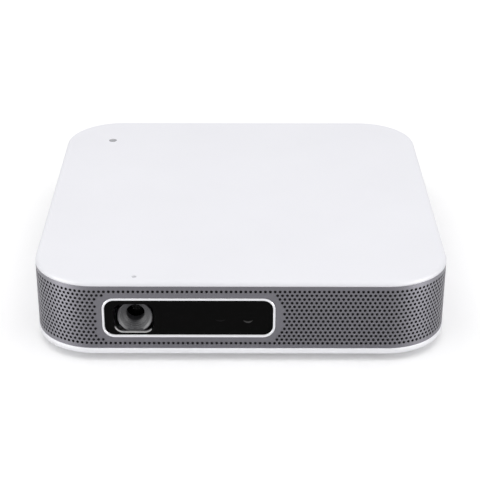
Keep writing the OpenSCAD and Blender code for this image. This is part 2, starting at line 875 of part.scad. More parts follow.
module lens_barrel() {
  g = guide_d / 2;
  b = barrel_d / 2;
  y0 = barrel_y;
  y1 = barrel_y + barrel_len;
  flange_y = ring_y - 0.1;
  color(dark_grey)
    difference() {
      union() {
        on_lens_axis()
          polygon([
            [front_glass_d / 2, y0], [hood_d / 2, y0], [hood_d / 2, flange_y - 1.3],
            [shoulder_r, flange_y - 1.3], [shoulder_r, flange_y], [b, flange_y], [b, clip_y],
            [b - clip_groove, clip_y], [b - clip_groove, clip_y + clip_t], [b, clip_y + clip_t], [b, y1],
            [rear_glass_d / 2, y1], [rear_glass_d / 2, y1 - rear_seat], [g - 1.6, y1 - rear_seat],
            [g - 1.6, y1 - rear_seat - 1.2], [g, y1 - rear_seat - 1.2],
            [g, y0 + front_seat + stop_t], [stop_r, y0 + front_seat + stop_t],
            [stop_r, y0 + front_seat], [front_glass_d / 2, y0 + front_seat]
          ]);
        translate([lens_x, 0, lens_z])
          difference() {
            front_view(y1 - 2.5, y1)
              rounded_rect(barrel_flange, barrel_flange, 3);
            front_view(y1 - 3, y1 + 1)
              circle(b - 1);
          }
      }
      for (a = [90, 210, 330])
        translate([lens_x, 0, lens_z])
          rotate([0, a, 0])
            translate([g - 1, key_y - 1, -key_w / 2 - running])
              cube([b - g + 2, key_len + focus_travel + 2, key_w + 2 * running]);
    }
}

module lens_carriage() {
  g = guide_d / 2 - running;
  color(metal) {
    on_lens_axis()
      difference() {
        translate([carriage_glass_d / 2 - 0.7, key_y - 2.5])
          square([g - carriage_glass_d / 2 + 0.7, carriage_len]);
        translate([0, key_y - 3])
          square([carriage_glass_d / 2, 6.5]);
      }
    for (a = [90, 210, 330])
      translate([lens_x, 0, lens_z])
        rotate([0, a, 0])
          translate([g - 0.5, key_y, -key_w / 2])
            cube([key_r - g + 0.5, key_len, key_w]);
  }
}

module moving_lens() {
  color(glass)
    on_lens_axis()
      translate([0, key_y + 3.5 - 2.8])
        lens_section(carriage_glass_d / 2 - running, 2.8, 1.2, 0);
}

module rear_lens() {
  y1 = barrel_y + barrel_len;
  color(glass)
    on_lens_axis()
      translate([0, y1 - rear_seat])
        lens_section(rear_glass_d / 2 - running, 3, 1, 1.2);
}

// Involute tooth outline, with short teeth at a steep pressure angle
function involute_deg(r, base) = r <= base ? 0 : sqrt(r * r / base / base - 1) * 180 / PI - acos(base / r);
function tooth_half(r, pitch, base, teeth) =
  90 / teeth - 2.2 / pitch + involute_deg(pitch, base) - involute_deg(r, base);
function gear_points(teeth, turn) =
  let (pitch = gear_module * teeth / 2, base = pitch * cos(25))
  let (tip = pitch + 0.8 * gear_module, root = pitch - 1.05 * gear_module)
  let (radii = [root, max(base, root + 0.1), (base + tip) / 2, tip])
  [for (i = [0:teeth - 1], side = [-1, 1], k = [0:3])
    let (r = radii[side < 0 ? k : 3 - k])
    let (a = turn + i * 360 / teeth + side * tooth_half(r, pitch, base, teeth))
    r * [cos(a), sin(a)]];

module focus_ring() {
  b = barrel_d / 2 + running;
  color(dark_grey)
    translate([lens_x, 0, lens_z])
      difference() {
        union() {
          front_view(ring_y, ring_y + ring_len) circle(ring_r);
          front_view(tooth_y, tooth_y + tooth_len)
            polygon(gear_points(ring_teeth, -pinion_angle + 180 / ring_teeth));
        }
        front_view(ring_y - 1, ring_y + ring_len + 1) circle(b);
        front_view(ring_y + 2, ring_y + ring_len - 2) circle(key_r + 0.4);
      }
}

module ring_clip() {
  color(metal)
    translate([lens_x, 0, lens_z])
      front_view(clip_y + running, clip_y + clip_t - running)
        difference() {
          circle(shoulder_r);
          circle(barrel_d / 2 - clip_groove + running);
          translate([0, -barrel_d / 2]) square([6, 8], center = true);
        }
}

module focus_pinion() {
  color(brass)
    translate([pinion_x, 0, pinion_z]) {
      front_view(tooth_y - 0.5, tooth_y + tooth_len + 0.5)
        polygon(gear_points(pinion_teeth, 180 - pinion_angle));
      front_view(motor_y - shaft_in, tooth_y) circle(d = shaft_d);
    }
}

module focus_motor() {
  color(metal)
    translate([pinion_x, 0, pinion_z])
      difference() {
        union() {
          front_view(motor_y - motor_len, motor_y) circle(d = motor_d);
          front_view(motor_y, motor_y + 0.8) circle(d = nose_d);
        }
        front_view(motor_y - shaft_in - 1, motor_y + 1) circle(d = shaft_d + 2 * running);
      }
}

module motor_bracket() {
  half = motor_d / 2 + 0.6;
  color(metal)
    difference() {
      union() {
        translate([pinion_x - half, motor_y, floor_z])
          cube([2 * half, 1, pinion_z + half - floor_z]);
        translate([pinion_x - half, motor_y, floor_z])
          cube([2 * half, 8, 1.2]);
      }
      translate([pinion_x, 0, pinion_z])
        front_view(motor_y - 1, motor_y + 2) circle(d = nose_d + 2 * running);
      translate([lens_x, 0, lens_z])
        front_view(motor_y - 1, motor_y + 2) circle(ring_r + 0.8);
      translate([pinion_x, motor_y + 5, floor_z - 1]) cylinder(d = 2.4, h = 3);
    }
}

// ---- Light engine ----

module engine_housing() {
  color(dark_grey)
    difference() {
      union() {
        translate([prism_x0, engine_y, engine_z])
          cube([prism_w + 2 * engine_t, prism_d + 2 * engine_t, engine_h]);
        translate([tunnel_x0, engine_y, engine_z])
          cube([tunnel_w + 2 * engine_t, tunnel_d + 2 * engine_t, engine_h]);
      }
      translate([prism_x0 + engine_t, engine_y + engine_t, engine_z + engine_t])
        cube([prism_w, prism_d, engine_h]);
      translate([tunnel_x0 + engine_t, engine_y + engine_t, engine_z + engine_t])
        cube([tunnel_w, tunnel_d, engine_h]);
      translate([lens_x, 0, lens_z])
        front_view(engine_y - 1, engine_y + engine_t + 1) circle(d = port_d);
      translate([lens_x, 0, lens_z])
        front_view(dmd_y - engine_t - 1, dmd_y + 1) square([14, 11], center = true);
      translate([tunnel_x0 - engine_t - 1, blue_y, lens_z])
        rotate([0, 90, 0]) cylinder(d = port_d, h = 2 * engine_t + 2);
      for (y = [red_y, blue_y])
        translate([lamp_x - engine_t - 1, y, lens_z])
          rotate([0, 90, 0]) cylinder(d = port_d, h = engine_t + 2);
      translate([green_x, 0, lens_z])
        front_view(green_y - engine_t - 1, green_y + 1) circle(d = port_d);
    }
}

module engine_lid() {
  lid_z = engine_z + engine_h;
  color(mid_grey)
    difference() {
      union() {
        translate([prism_x0, engine_y, lid_z])
          cube([prism_w + 2 * engine_t, prism_d + 2 * engine_t, lid_t]);
        translate([tunnel_x0, engine_y, lid_z])
          cube([tunnel_w + 2 * engine_t, tunnel_d + 2 * engine_t, lid_t]);
      }
      for (y = [blue_y, red_y], x = [-1, 1])
        translate([green_x + x * 7, y, lid_z + lid_t - 0.8])
          cylinder(d = 4.4, h = 2);
    }
}

module light_prism() {
  leg = 15;
  color(glass)
    translate([lens_x - leg / 2, blue_y - leg / 2, engine_z + engine_t])
      linear_extrude(engine_h - engine_t - 0.5)
        polygon([[0, 0], [leg, 0], [0, leg]]);
}

module relay_lens() {
  color(glass)
    translate([tunnel_x0 - engine_t + 0.2, blue_y, lens_z])
      rotate([0, 90, 0])
        rotate_extrude()
          lens_section(port_d / 2 - running, 3, 0, 1.2);
}

module dichroic_plates() {
  color([0.5, 0.75, 0.9, 0.5])
    for (y = [red_y, blue_y])
      translate([green_x, y, engine_z + engine_t])
        rotate([0, 0, y == red_y ? 45 : 135])
          translate([-10.5, -0.5, 0])
            cube([21, 1, engine_h - engine_t - 0.5]);
}

module lamp(colour) {
  color(copper)
    translate([0, -lamp_side / 2, -lamp_side / 2])
      cube([lamp_t, lamp_side, lamp_side]);
  color(colour)
    rotate([0, -90, 0])
      rotate_extrude()
        lens_dome(port_d / 2 - 1);
}

module lens_dome(r) {
  intersection() {
    translate([0, -r * 0.3]) circle(r * 1.05);
    square([r, r]);
  }
}

module red_led_module() {
  translate([lamp_x, red_y, lens_z]) lamp([0.85, 0.2, 0.15]);
}

module blue_led_module() {
  translate([lamp_x, blue_y, lens_z]) lamp([0.15, 0.3, 0.85]);
}

module green_led_module() {
  translate([green_x, green_y, lens_z]) rotate([0, 0, 90]) lamp([0.2, 0.75, 0.3]);
}

module dmd_board() {
  color(board_green)
    translate([lens_x, 0, lens_z - 2])
      front_view(dmd_y, dmd_y + 1.2)
        square([prism_w + engine_t, 24], center = true);
  color(metal)
    translate([lens_x, 0, lens_z])
      front_view(dmd_y - 1.8, dmd_y) square([11, 8.6], center = true);
}

module dmd_heat_sink() {
  y0 = dmd_y + 1.2;
  color(black)
    translate([lens_x - 13, y0, lens_z - 12]) {
      cube([26, 2.4, 22]);
      for (i = [0:8])
        translate([i * 3.1, 0, 0]) cube([1.2, 11, 22]);
    }
}

// ---- Cooling ----

module straight_pipe(a, b, d) {
  v = b - a;
  translate(a)
    rotate([0, 0, atan2(v[1], v[0])])
      rotate([0, 90, 0])
        cylinder(d = d, h = norm(v));
}

module pipe_elbow(c, turn, d) {
  translate(c)
    rotate([0, 0, turn])
      rotate_extrude(angle = 90)
        translate([pipe_bend, 0]) circle(d = d);
}

module side_pipe(z, d) {
  y0 = spread_y1;
  straight_pipe([side_pipe_x, y0, z], [side_pipe_x, bend_y, z], d);
  pipe_elbow([side_pipe_x + pipe_bend, bend_y, z], 180, d);
  straight_pipe([side_pipe_x + pipe_bend, run_y, z], [fins_x - pipe_bend, run_y, z], d);
  pipe_elbow([fins_x - pipe_bend, bend_y, z], 270, d);
  straight_pipe([fins_x, bend_y, z], [fins_x, fins_y0 + fins_len + 1, z], d);
}

module rear_pipe(z, d) {
  straight_pipe([green_x - lamp_side / 2 - 2, rear_pipe_y, z], [fins_x - pipe_bend, rear_pipe_y, z], d);
  pipe_elbow([fins_x - pipe_bend, rear_pipe_y - pipe_bend, z], 0, d);
  straight_pipe([fins_x, rear_pipe_y - pipe_bend, z], [fins_x, fins_y0 + 1, z], d);
}

module heat_pipes() {
  color(copper) {
    side_pipe(lens_z - pipe_step, pipe_d);
    side_pipe(lens_z + pipe_step, pipe_d);
    rear_pipe(lens_z, pipe_d);
  }
}

module heat_spreaders() {
  side_x = lamp_x + lamp_t;
  side_z = lens_z - lamp_side / 2;
  color(copper)
    difference() {
      union() {
        translate([side_x, spread_y0, side_z])
          cube([side_pipe_x - side_x, spread_y1 - spread_y0, lamp_side]);
        translate([green_x - lamp_side / 2 - 1, green_y + lamp_t, side_z])
          cube([lamp_side + 2, rear_pipe_y - green_y - lamp_t, lamp_side]);
      }
      side_pipe(lens_z - pipe_step, pipe_d + 2 * running);
      side_pipe(lens_z + pipe_step, pipe_d + 2 * running);
      rear_pipe(lens_z, pipe_d + 2 * running);
    }
}

module heat_sink_fins() {
  count = floor((fins_len - fin_t) / fin_pitch);
  color(metal)
    translate([fins_x - fin_w / 2, fins_y0, cooler_z])
      difference() {
        union() {
          for (i = [0:count])
            translate([0, i * fin_pitch, 0]) cube([fin_w, fin_t, fin_h]);
          cube([fin_w, count * fin_pitch + fin_t, 0.6]);
          translate([0, 0, fin_h - 0.6]) cube([fin_w, count * fin_pitch + fin_t, 0.6]);
        }
        for (k = [-1:1])
          translate([fin_w / 2, -1, lens_z - cooler_z + k * pipe_step])
            rotate([-90, 0, 0])
              cylinder(d = pipe_d + 2 * running, h = fins_len + 2);
      }
}

module blower_outline(inset) {
  circle(blower_r - inset);
  translate([0, -blower_r + inset])
    square([fins_x - fin_w / 2 - slip - blower_x, blower_r + 6 - 2 * inset]);
}

module blower_housing() {
  color(black)
    translate([blower_x, blower_y, cooler_z]) {
      difference() {
        linear_extrude(blower_h - blower_t) blower_outline(0);
        translate([0, 0, blower_t])
          linear_extrude(blower_h) blower_outline(blower_t);
        translate([blower_r, -blower_r + blower_t, blower_t])
          cube([40, blower_r + 6 - 2 * blower_t, blower_h]);
        hole(inlet_d, -1, blower_t + 1);
      }
      difference() {
        union() {
          hole(bearing_d, 0, bearing_h);
          for (a = [0:120:240])
            rotate([0, 0, a]) translate([2, -1, 0]) cube([inlet_d / 2 - 1, 2, blower_t]);
        }
        hole(axle_d + 2 * running, 1, bearing_h + 1);
      }
    }
}

module blower_lid() {
  color(black)
    translate([blower_x, blower_y, cooler_z + blower_h - blower_t])
      linear_extrude(blower_t)
        difference() {
          blower_outline(0);
          circle(d = inlet_d);
        }
}

module blower_rotor() {
  r1 = rotor_d / 2;
  r0 = inlet_d / 2;
  rotor_h = blower_h - 2 * blower_t - 2;
  color(dark_grey)
    translate([blower_x, blower_y, cooler_z + blower_t + 1]) {
      difference() {
        union() {
          hole(hub_d, 0, rotor_h);
          hole(2 * r1 - 0.4, rotor_h * 0.5, rotor_h * 0.5 + 1);
          linear_extrude(rotor_h)
            for (i = [0:blades - 1])
              rotate([0, 0, i * 360 / blades])
                polygon([
                  [r0, 0], [(r0 + r1) / 2, 0.5], [r1 - 0.2, 1.9],
                  [r1 - 0.2, 2.7], [(r0 + r1) / 2, 1.3], [r0, 0.8]
                ]);
        }
        hole(bearing_d + 1.2, -1, bearing_h - 0.6);
      }
      hole(axle_d, -0.8, bearing_h);
    }
}

// ---- Boards ----

module main_board() {
  color(board_green)
    difference() {
      translate([0, board_y, board_z])
        linear_extrude(board_t)
          rounded_rect(board_w, board_d, 2);
      for (p = main_posts)
        translate([p[0], p[1], 0]) hole(2.6, board_z - 1, board_z + 5);
    }
  // Chips, as sideways place, place from the board's middle, side and height
  chips = [[-2, 1, 16, 1.2], [22, -1, 12, 1.4], [22, -19, 9, 1], [-8, -21, 9, 1], [40, -1, 8, 1.6]];
  color(black)
    for (p = chips)
      translate([p[0] - p[2] / 2, board_y + p[1] - p[2] / 2, board_top])
        cube([p[2], p[2], p[3]]);
  color(metal)
    for (i = [0:4])
      translate([-46 + i * 6.5, board_y - 24, board_top]) cylinder(d = 5, h = 6);
}

module board_shields() {
  color(metal)
    for (b = [[-32, -3, 30, 26, 4], [44, -19, 14, 18, 2.4]])
      translate([b[0], board_y + b[1], board_top])
        difference() {
          translate([-b[2] / 2, -b[3] / 2, 0]) cube([b[2], b[3], b[4]]);
          translate([-b[2] / 2 + 0.4, -b[3] / 2 + 0.4, -1]) cube([b[2] - 0.8, b[3] - 0.8, b[4] + 0.6]);
        }
}

module small_screw(shank, length, head, head_h) {
  hole(shank, -length, 0.1);
  difference() {
    hole(head, 0, head_h);
    translate([0, 0, head_h - 0.9]) cylinder(d = head * 0.45, h = 2, $fn = 6);
  }
}

module board_screws() {
  color(metal)
    for (p = main_posts)
      translate([p[0], p[1], board_top])
        small_screw(2, 6.4, 3.8, 1.6);
}

module housing_screws() {
  color(metal)
    at_feet()
      translate([0, 0, head_seat])
        mirror([0, 0, 1])
          small_screw(screw_d, screw_len, 2 * screw_d, 2);
}

module power_board() {
  color(board_green)
    translate([power_x, power_y, power_z])
      linear_extrude(board_t)
        rounded_rect(power_size[0], power_size[1], 1.5);
  // Two wide coils, then six tall capacitors
  color(dark_grey)
    translate([power_x, power_y, power_z + board_t]) {
      for (y = [-24, -6])
        translate([0, y, 0]) hole(coil_side, -0.1, coil_h);
      for (y = [10, 20, 30], x = [-4.5, 4.5])
        translate([x, y, 0]) hole(capacitor_d, -0.1, capacitor_h);
    }
}

module signal_boards() {
  color(board_green) {
    translate([ir_x, ir_y, ir_board_z]) cube([13, 8, 2], center = true);
    translate([lens_x, light_y + 2.4, light_board_z]) cube([signal_w, 8.2, 1], center = true);
  }
  color(black)
    translate([ir_x, ir_y, 0]) hole(4, ir_board_z + 0.5, roof_z - 1.6);
  color(white)
    translate([lens_x, light_y, 0]) hole(1.8, light_board_z, light_board_z + 1.4);
}

module ir_receiver_window() {
  color(dark_grey)
    translate([ir_x, ir_y, 0]) {
      hole(ir_d, roof_z - 0.6, top_z);
      hole(ir_flange_d, roof_z - 1.2, roof_z);
    }
}

module status_light_pipe() {
  color([0.85, 0.85, 0.87, 0.8])
    translate([lens_x, light_y, 0]) {
      hole(light_d, light_board_z + 1.5, top_z);
      hole(light_flange_d, roof_z - 0.8, roof_z);
    }
}

// ---- Rear panel and ports ----

module hdmi_outline(grow) {
  w = hdmi_size[0] / 2 + grow;
  h = hdmi_size[1] / 2 + grow;
  polygon([[-w, h], [-w, -0.6], [-w + 2.2, -h], [w - 2.2, -h], [w, -0.6], [w, h]]);
}

module rear_io_panel() {
  z = board_top;
  color(black)
    difference() {
      translate([0, 0, window_z]) {
        front_view(panel_in, panel_face) rounded_rect(panel_w, bezel_h, bezel_r);
        front_view(panel_in, inside_y - running)
          rounded_rect(panel_w + 2 * flange_w, bezel_h + 2 * flange_w, bezel_r + flange_w);
      }
      translate([hdmi_x, 0, z + hdmi_size[1] / 2])
        front_view(panel_in - 1, rear_y + 1) hdmi_outline(slip);
      translate([usb_a_x, 0, z + usb_a_size[1] / 2])
        front_view(panel_in - 1, rear_y + 1)
          square([usb_a_size[0] + 2 * slip, usb_a_size[1] + 2 * slip], center = true);
      translate([usb_c_x, 0, z + usb_c_size[1] / 2])
        front_view(panel_in - 1, rear_y + 1)
          rounded_rect(usb_c_size[0] + 2 * slip, usb_c_size[1] + 2 * slip, 1.75);
      translate([audio_x, 0, audio_z])
        front_view(panel_in - 1, rear_y + 1) circle(d = audio_body - 0.2);
      translate([dc_x, 0, dc_z])
        front_view(panel_in - 1, rear_y + 1) circle(d = dc_bore_d + 2.4);
      translate([button_x, 0, window_z]) {
        front_view(panel_in - 1, rear_y + 1) circle(d = button_d + 2 * slip);
        front_view(panel_in - 1, inside_y - running) circle(d = button_flange_d + 3 * slip);
      }
    }
}

module hdmi_socket() {
  wall = 0.4;
  y0 = port_y - 11.5;
  color(metal)
    translate([hdmi_x, 0, board_top + hdmi_size[1] / 2])
      difference() {
        front_view(y0, port_y) hdmi_outline(0);
        front_view(y0 + 1.5, port_y + 1) hdmi_outline(-wall);
      }
  color(black)
    translate([hdmi_x, 0, board_top + hdmi_size[1] / 2 + 0.3])
      front_view(y0 + 1, port_y - 1.8) square([10.6, 1.3], center = true);
}

module usb_a_socket() {
  wall = 0.35;
  y0 = port_y - 16;
  w = usb_a_size[0];
  h = usb_a_size[1];
  translate([usb_a_x, 0, board_top + h / 2]) {
    color(metal)
      difference() {
        front_view(y0, port_y) square([w, h], center = true);
        front_view(y0 + 2, port_y + 1) square([w - 2 * wall, h - 2 * wall], center = true);
      }
    color(white)
      translate([0, 0, 0.9])
        front_view(y0 + 1, port_y - 2) square([w - 2, 1.8], center = true);
  }
}

module usb_c_socket() {
  wall = 0.3;
  y0 = port_y - 8.5;
  w = usb_c_size[0];
  h = usb_c_size[1];
  translate([usb_c_x, 0, board_top + h / 2]) {
    color(metal)
      difference() {
        front_view(y0, port_y) rounded_rect(w, h, h / 2 - 0.05);
        front_view(y0 + 1.2, port_y + 1) rounded_rect(w - 2 * wall, h - 2 * wall, h / 2 - wall - 0.05);
      }
    color(black)
      front_view(y0 + 1, port_y - 0.8) square([6.6, 0.7], center = true);
  }
}

module audio_jack() {
  color(black)
    translate([audio_x, 0, audio_z])
      difference() {
        union() {
          front_view(panel_in - 10.5, panel_in - 0.2) square(audio_body, center = true);
          front_view(panel_in - 1, port_y) circle(d = audio_body - 0.6);
        }
        front_view(port_y - 13, port_y + 1) circle(d = audio_bore_d);
      }
}

module dc_jack() {
  color(black)
    translate([dc_x, 0, dc_z])
      difference() {
        union() {
          translate([-dc_body / 2, panel_in - 12.2, -(dc_z - board_top)])
            cube([dc_body, 12, dc_z - board_top + dc_body / 2]);
          front_view(panel_in - 1, port_y) circle(d = dc_bore_d + 2);
        }
        front_view(port_y - 10, port_y + 1) circle(d = dc_bore_d);
      }
  color(metal)
    translate([dc_x, 0, dc_z])
      front_view(port_y - 10.5, port_y - 1.2) circle(d = 2.2);
}

module power_button() {
  color(dark_grey)
    translate([button_x, 0, window_z]) {
      front_view(panel_in, panel_face + 0.4) circle(d = button_d);
      front_view(panel_in + 0.2, inside_y - 2 * running) circle(d = button_flange_d);
      front_view(stem_end, panel_in + 0.1) circle(d = stem_d);
    }
}

module switch_plunger() {
  color(metal)
    translate([button_x, 0, window_z])
      front_view(stem_end - plunger_len, stem_end) circle(d = plunger_d);
}

module power_switch() {
  color(black)
    difference() {
      translate([button_x - switch_w / 2, switch_face - switch_t, board_top])
        cube([switch_w, switch_t, window_z - board_top + switch_w / 2]);
      translate([button_x, 0, window_z])
        front_view(stem_end - plunger_len - button_travel - slip, switch_face + 1)
          circle(d = plunger_d + 2 * running);
    }
}

// ---- Underside ----

module rubber_feet() {
  bevel = 0.4;
  color(dark_grey)
    at_feet()
      rotate_extrude()
        polygon([
          [0, 0], [foot_d / 2 - bevel, 0], [foot_d / 2, bevel],
          [foot_d / 2, plinth_z + foot_sink], [0, plinth_z + foot_sink]
        ]);
}

module tripod_insert() {
  color(brass)
    difference() {
      union() {
        hole(insert_d, plinth_z, plinth_z + 3);
        hole(insert_d - 0.8, plinth_z + 2, insert_top - 2);
        hole(insert_d, insert_top - 3, insert_top);
      }
      hole(tripod_bore_d, plinth_z - 1, plinth_z + tripod_depth);
    }
}

module tilt_foot() {
  color(dark_grey)
    translate([0, tilt_y, tilt_z])
      difference() {
        union() {
          translate([0, tilt_len / 2, -knuckle_r])
            linear_extrude(tilt_t)
              rounded_rect(tilt_w, tilt_len, 3);
          translate([-tilt_w / 2, 0, -knuckle_r])
            cube([tilt_w, 4, tilt_t]);
          rotate([0, 90, 0])
            cylinder(r = knuckle_r, h = tilt_w, center = true);
        }
        rotate([0, 90, 0])
          cylinder(d = tilt_pin_d + 2 * running, h = tilt_w + 2, center = true);
        translate([-tilt_w / 2 + 5, 6, -knuckle_r + tilt_t - 0.8])
          cube([tilt_w - 10, tilt_len - 12, 2]);
      }
}

module tilt_foot_pin() {
  color(metal)
    translate([0, tilt_y, tilt_z])
      rotate([0, 90, 0])
        cylinder(d = tilt_pin_d, h = tilt_w + 2 * tilt_pin_end, center = true);
}

// ---- Speakers, drawn for the left side ----

module on_speaker_axis() {
  translate([-speaker_face, speaker_y, speaker_z])
    rotate([0, 90, 0])
      rotate_extrude()
        children();
}

// Basket and magnet in section, with the groove that the voice coil moves in
module speaker_basket() {
  magnet_r = magnet_d / 2;
  back = basket_t + magnet_t;
  groove_in = coil_d / 2 - coil_wall / 2 - coil_gap;
  groove_out = coil_d / 2 + coil_wall / 2 + coil_gap;
  rim_in = cone_r + 0.5;
  rim_out = cone_r + 3.6;
  on_speaker_axis()
    polygon([
      [rim_in, -basket_rim_t], [rim_out, -basket_rim_t], [rim_out, 0], [cone_r + 1.4, 0], [magnet_r, basket_t],
      [magnet_r, back], [0, back], [0, basket_t], [groove_in, basket_t], [groove_in, groove_end],
      [groove_out, groove_end], [groove_out, basket_t], [magnet_r - 0.8, basket_t], [rim_in, 0.2]
    ]);
}

module speaker_box() {
  color(black) {
    difference() {
      translate([-speaker_face, speaker_y - speaker_len / 2, floor_z])
        cube([speaker_w, speaker_len, speaker_h]);
      translate([-speaker_face, speaker_y - speaker_len / 2, floor_z])
        translate([speaker_wall, speaker_wall, speaker_wall])
          cube([speaker_w, speaker_len, speaker_h] - 2 * speaker_wall * [1, 1, 1]);
      translate([-speaker_face - 1, speaker_y, speaker_z])
        rotate([0, 90, 0])
          cylinder(r = cone_r + 1.6, h = speaker_wall + 2);
    }
    speaker_basket();
  }
}

module speaker_cone() {
  coil_out = coil_d / 2 + coil_wall / 2;
  coil_in = coil_d / 2 - coil_wall / 2;
  coil_end = groove_end - 2 * cone_travel - 0.8;
  neck = basket_t - 1.8;
  color(mid_grey)
    on_speaker_axis()
      polygon([
        [cone_r + 0.2, -1], [cone_r + 0.2, -0.4], [coil_out, neck], [coil_out, coil_end],
        [coil_in, coil_end], [coil_in, neck - 0.3], [0, neck - 0.3], [0, neck - 1.2],
        [coil_in - 0.3, neck - 0.7], [cone_r - 0.4, -1]
      ]);
}

module left_speaker_box() speaker_box();
module left_speaker_cone() speaker_cone();
module right_speaker_box() mirror([1, 0, 0]) speaker_box();
module right_speaker_cone() mirror([1, 0, 0]) speaker_cone();

top_cover();
grille_band();
base_tray();
inner_frame();
window_bezel();
front_window();
lens_hood();
front_lens();
ir_receiver_window();
status_light_pipe();
rear_io_panel();
hdmi_socket();
usb_a_socket();
usb_c_socket();
audio_jack();
dc_jack();
power_button();
switch_plunger();
power_switch();
rubber_feet();
housing_screws();
tripod_insert();
tilt_foot();
tilt_foot_pin();
lens_barrel();
lens_carriage();
moving_lens();
rear_lens();
focus_ring();
ring_clip();
focus_pinion();
focus_motor();
motor_bracket();
sensor_board();
engine_housing();
engine_lid();
light_prism();
relay_lens();
dichroic_plates();
dmd_board();
dmd_heat_sink();
red_led_module();
green_led_module();
blue_led_module();
heat_spreaders();
heat_pipes();
heat_sink_fins();
blower_housing();
blower_lid();
blower_rotor();
main_board();
board_shields();
board_screws();
power_board();
signal_boards();
left_speaker_box();
left_speaker_cone();
right_speaker_box();
right_speaker_cone();
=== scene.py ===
import math
import bpy
import bmesh
from mathutils import Matrix, Vector


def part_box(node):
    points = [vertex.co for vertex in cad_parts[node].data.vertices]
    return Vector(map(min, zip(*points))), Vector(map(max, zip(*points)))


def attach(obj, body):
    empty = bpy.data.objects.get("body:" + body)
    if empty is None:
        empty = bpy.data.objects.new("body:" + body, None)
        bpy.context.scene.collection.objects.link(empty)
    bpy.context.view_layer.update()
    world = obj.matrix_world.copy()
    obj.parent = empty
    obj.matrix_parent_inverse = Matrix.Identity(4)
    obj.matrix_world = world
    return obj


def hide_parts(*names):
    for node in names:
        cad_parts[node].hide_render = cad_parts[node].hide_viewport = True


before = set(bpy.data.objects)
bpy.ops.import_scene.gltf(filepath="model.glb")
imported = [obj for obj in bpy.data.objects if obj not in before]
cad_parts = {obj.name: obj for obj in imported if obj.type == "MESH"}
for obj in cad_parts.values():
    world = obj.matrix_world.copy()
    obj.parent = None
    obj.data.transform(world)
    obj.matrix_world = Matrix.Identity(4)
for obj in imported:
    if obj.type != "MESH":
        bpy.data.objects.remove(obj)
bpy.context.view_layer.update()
MM = 0.001


# ---- Base tray ----
# The white lower shell: a moulded tray with a proud lip all round, a plinth, air slots and screw
# posts. It is moulded in a fine spark texture, and the lip is the edge that shows below the band.

class Wire:
    """The output of a node. Python's operators on it add Math nodes to the same tree."""

    def __init__(self, graph, socket):
        self.graph, self.socket = graph, socket

    def math(self, operation, *others):
        return self.graph.node("ShaderNodeMath", {"operation": operation}, [self, *others])

    def __add__(self, other):
        return self.math("ADD", other)

    def __mul__(self, other):
        return self.math("MULTIPLY", other)

    def __sub__(self, other):
        return self.math("SUBTRACT", other)

    def __rsub__(self, other):
        return self * -1 + other

    def __truediv__(self, other):
        return self.math("DIVIDE", other)

    def __mod__(self, other):
        return self.math("FLOORED_MODULO", other)

    def __abs__(self):
        return self.math("ABSOLUTE")

    def __gt__(self, other):
        return self.math("GREATER_THAN", other)

    def __lt__(self, other):
        return self.math("LESS_THAN", other)


class Graph:
    """A node tree that is filled by one method, node()."""

    def __init__(self, tree):
        self.tree = tree

    def put(self, socket, value):
        if isinstance(value, Wire):
            self.tree.links.new(value.socket, socket)
        else:
            socket.default_value = value

    def node(self, kind, settings=None, inputs=(), output=0):
        """A node of any kind with its settings and inputs, given back as the wire of one output."""
        made = self.tree.nodes.new(kind)
        for name, value in (settings or {}).items():
            setattr(made, name, value)
        pairs = inputs.items() if isinstance(inputs, dict) else enumerate(inputs)
        for key, value in pairs:
            self.put(made.inputs[key], value)
        return Wire(self, made.outputs[output])


def srgb(*levels):
    """A linear colour from its three levels on a 0 to 255 screen."""
    parts = [v / 255 for v in levels]
    return tuple(v / 12.92 if v <= 0.04045 else ((v + 0.055) / 1.055) ** 2.4 for v in parts) + (1,)


def grey(level):
    """A neutral linear colour from its level on a 0 to 255 screen."""
    return srgb(level, level, level)


def dimmed(colour, share):
    """The colour with its light brought down to that share."""
    return tuple(c * share for c in colour[:3]) + (1,)


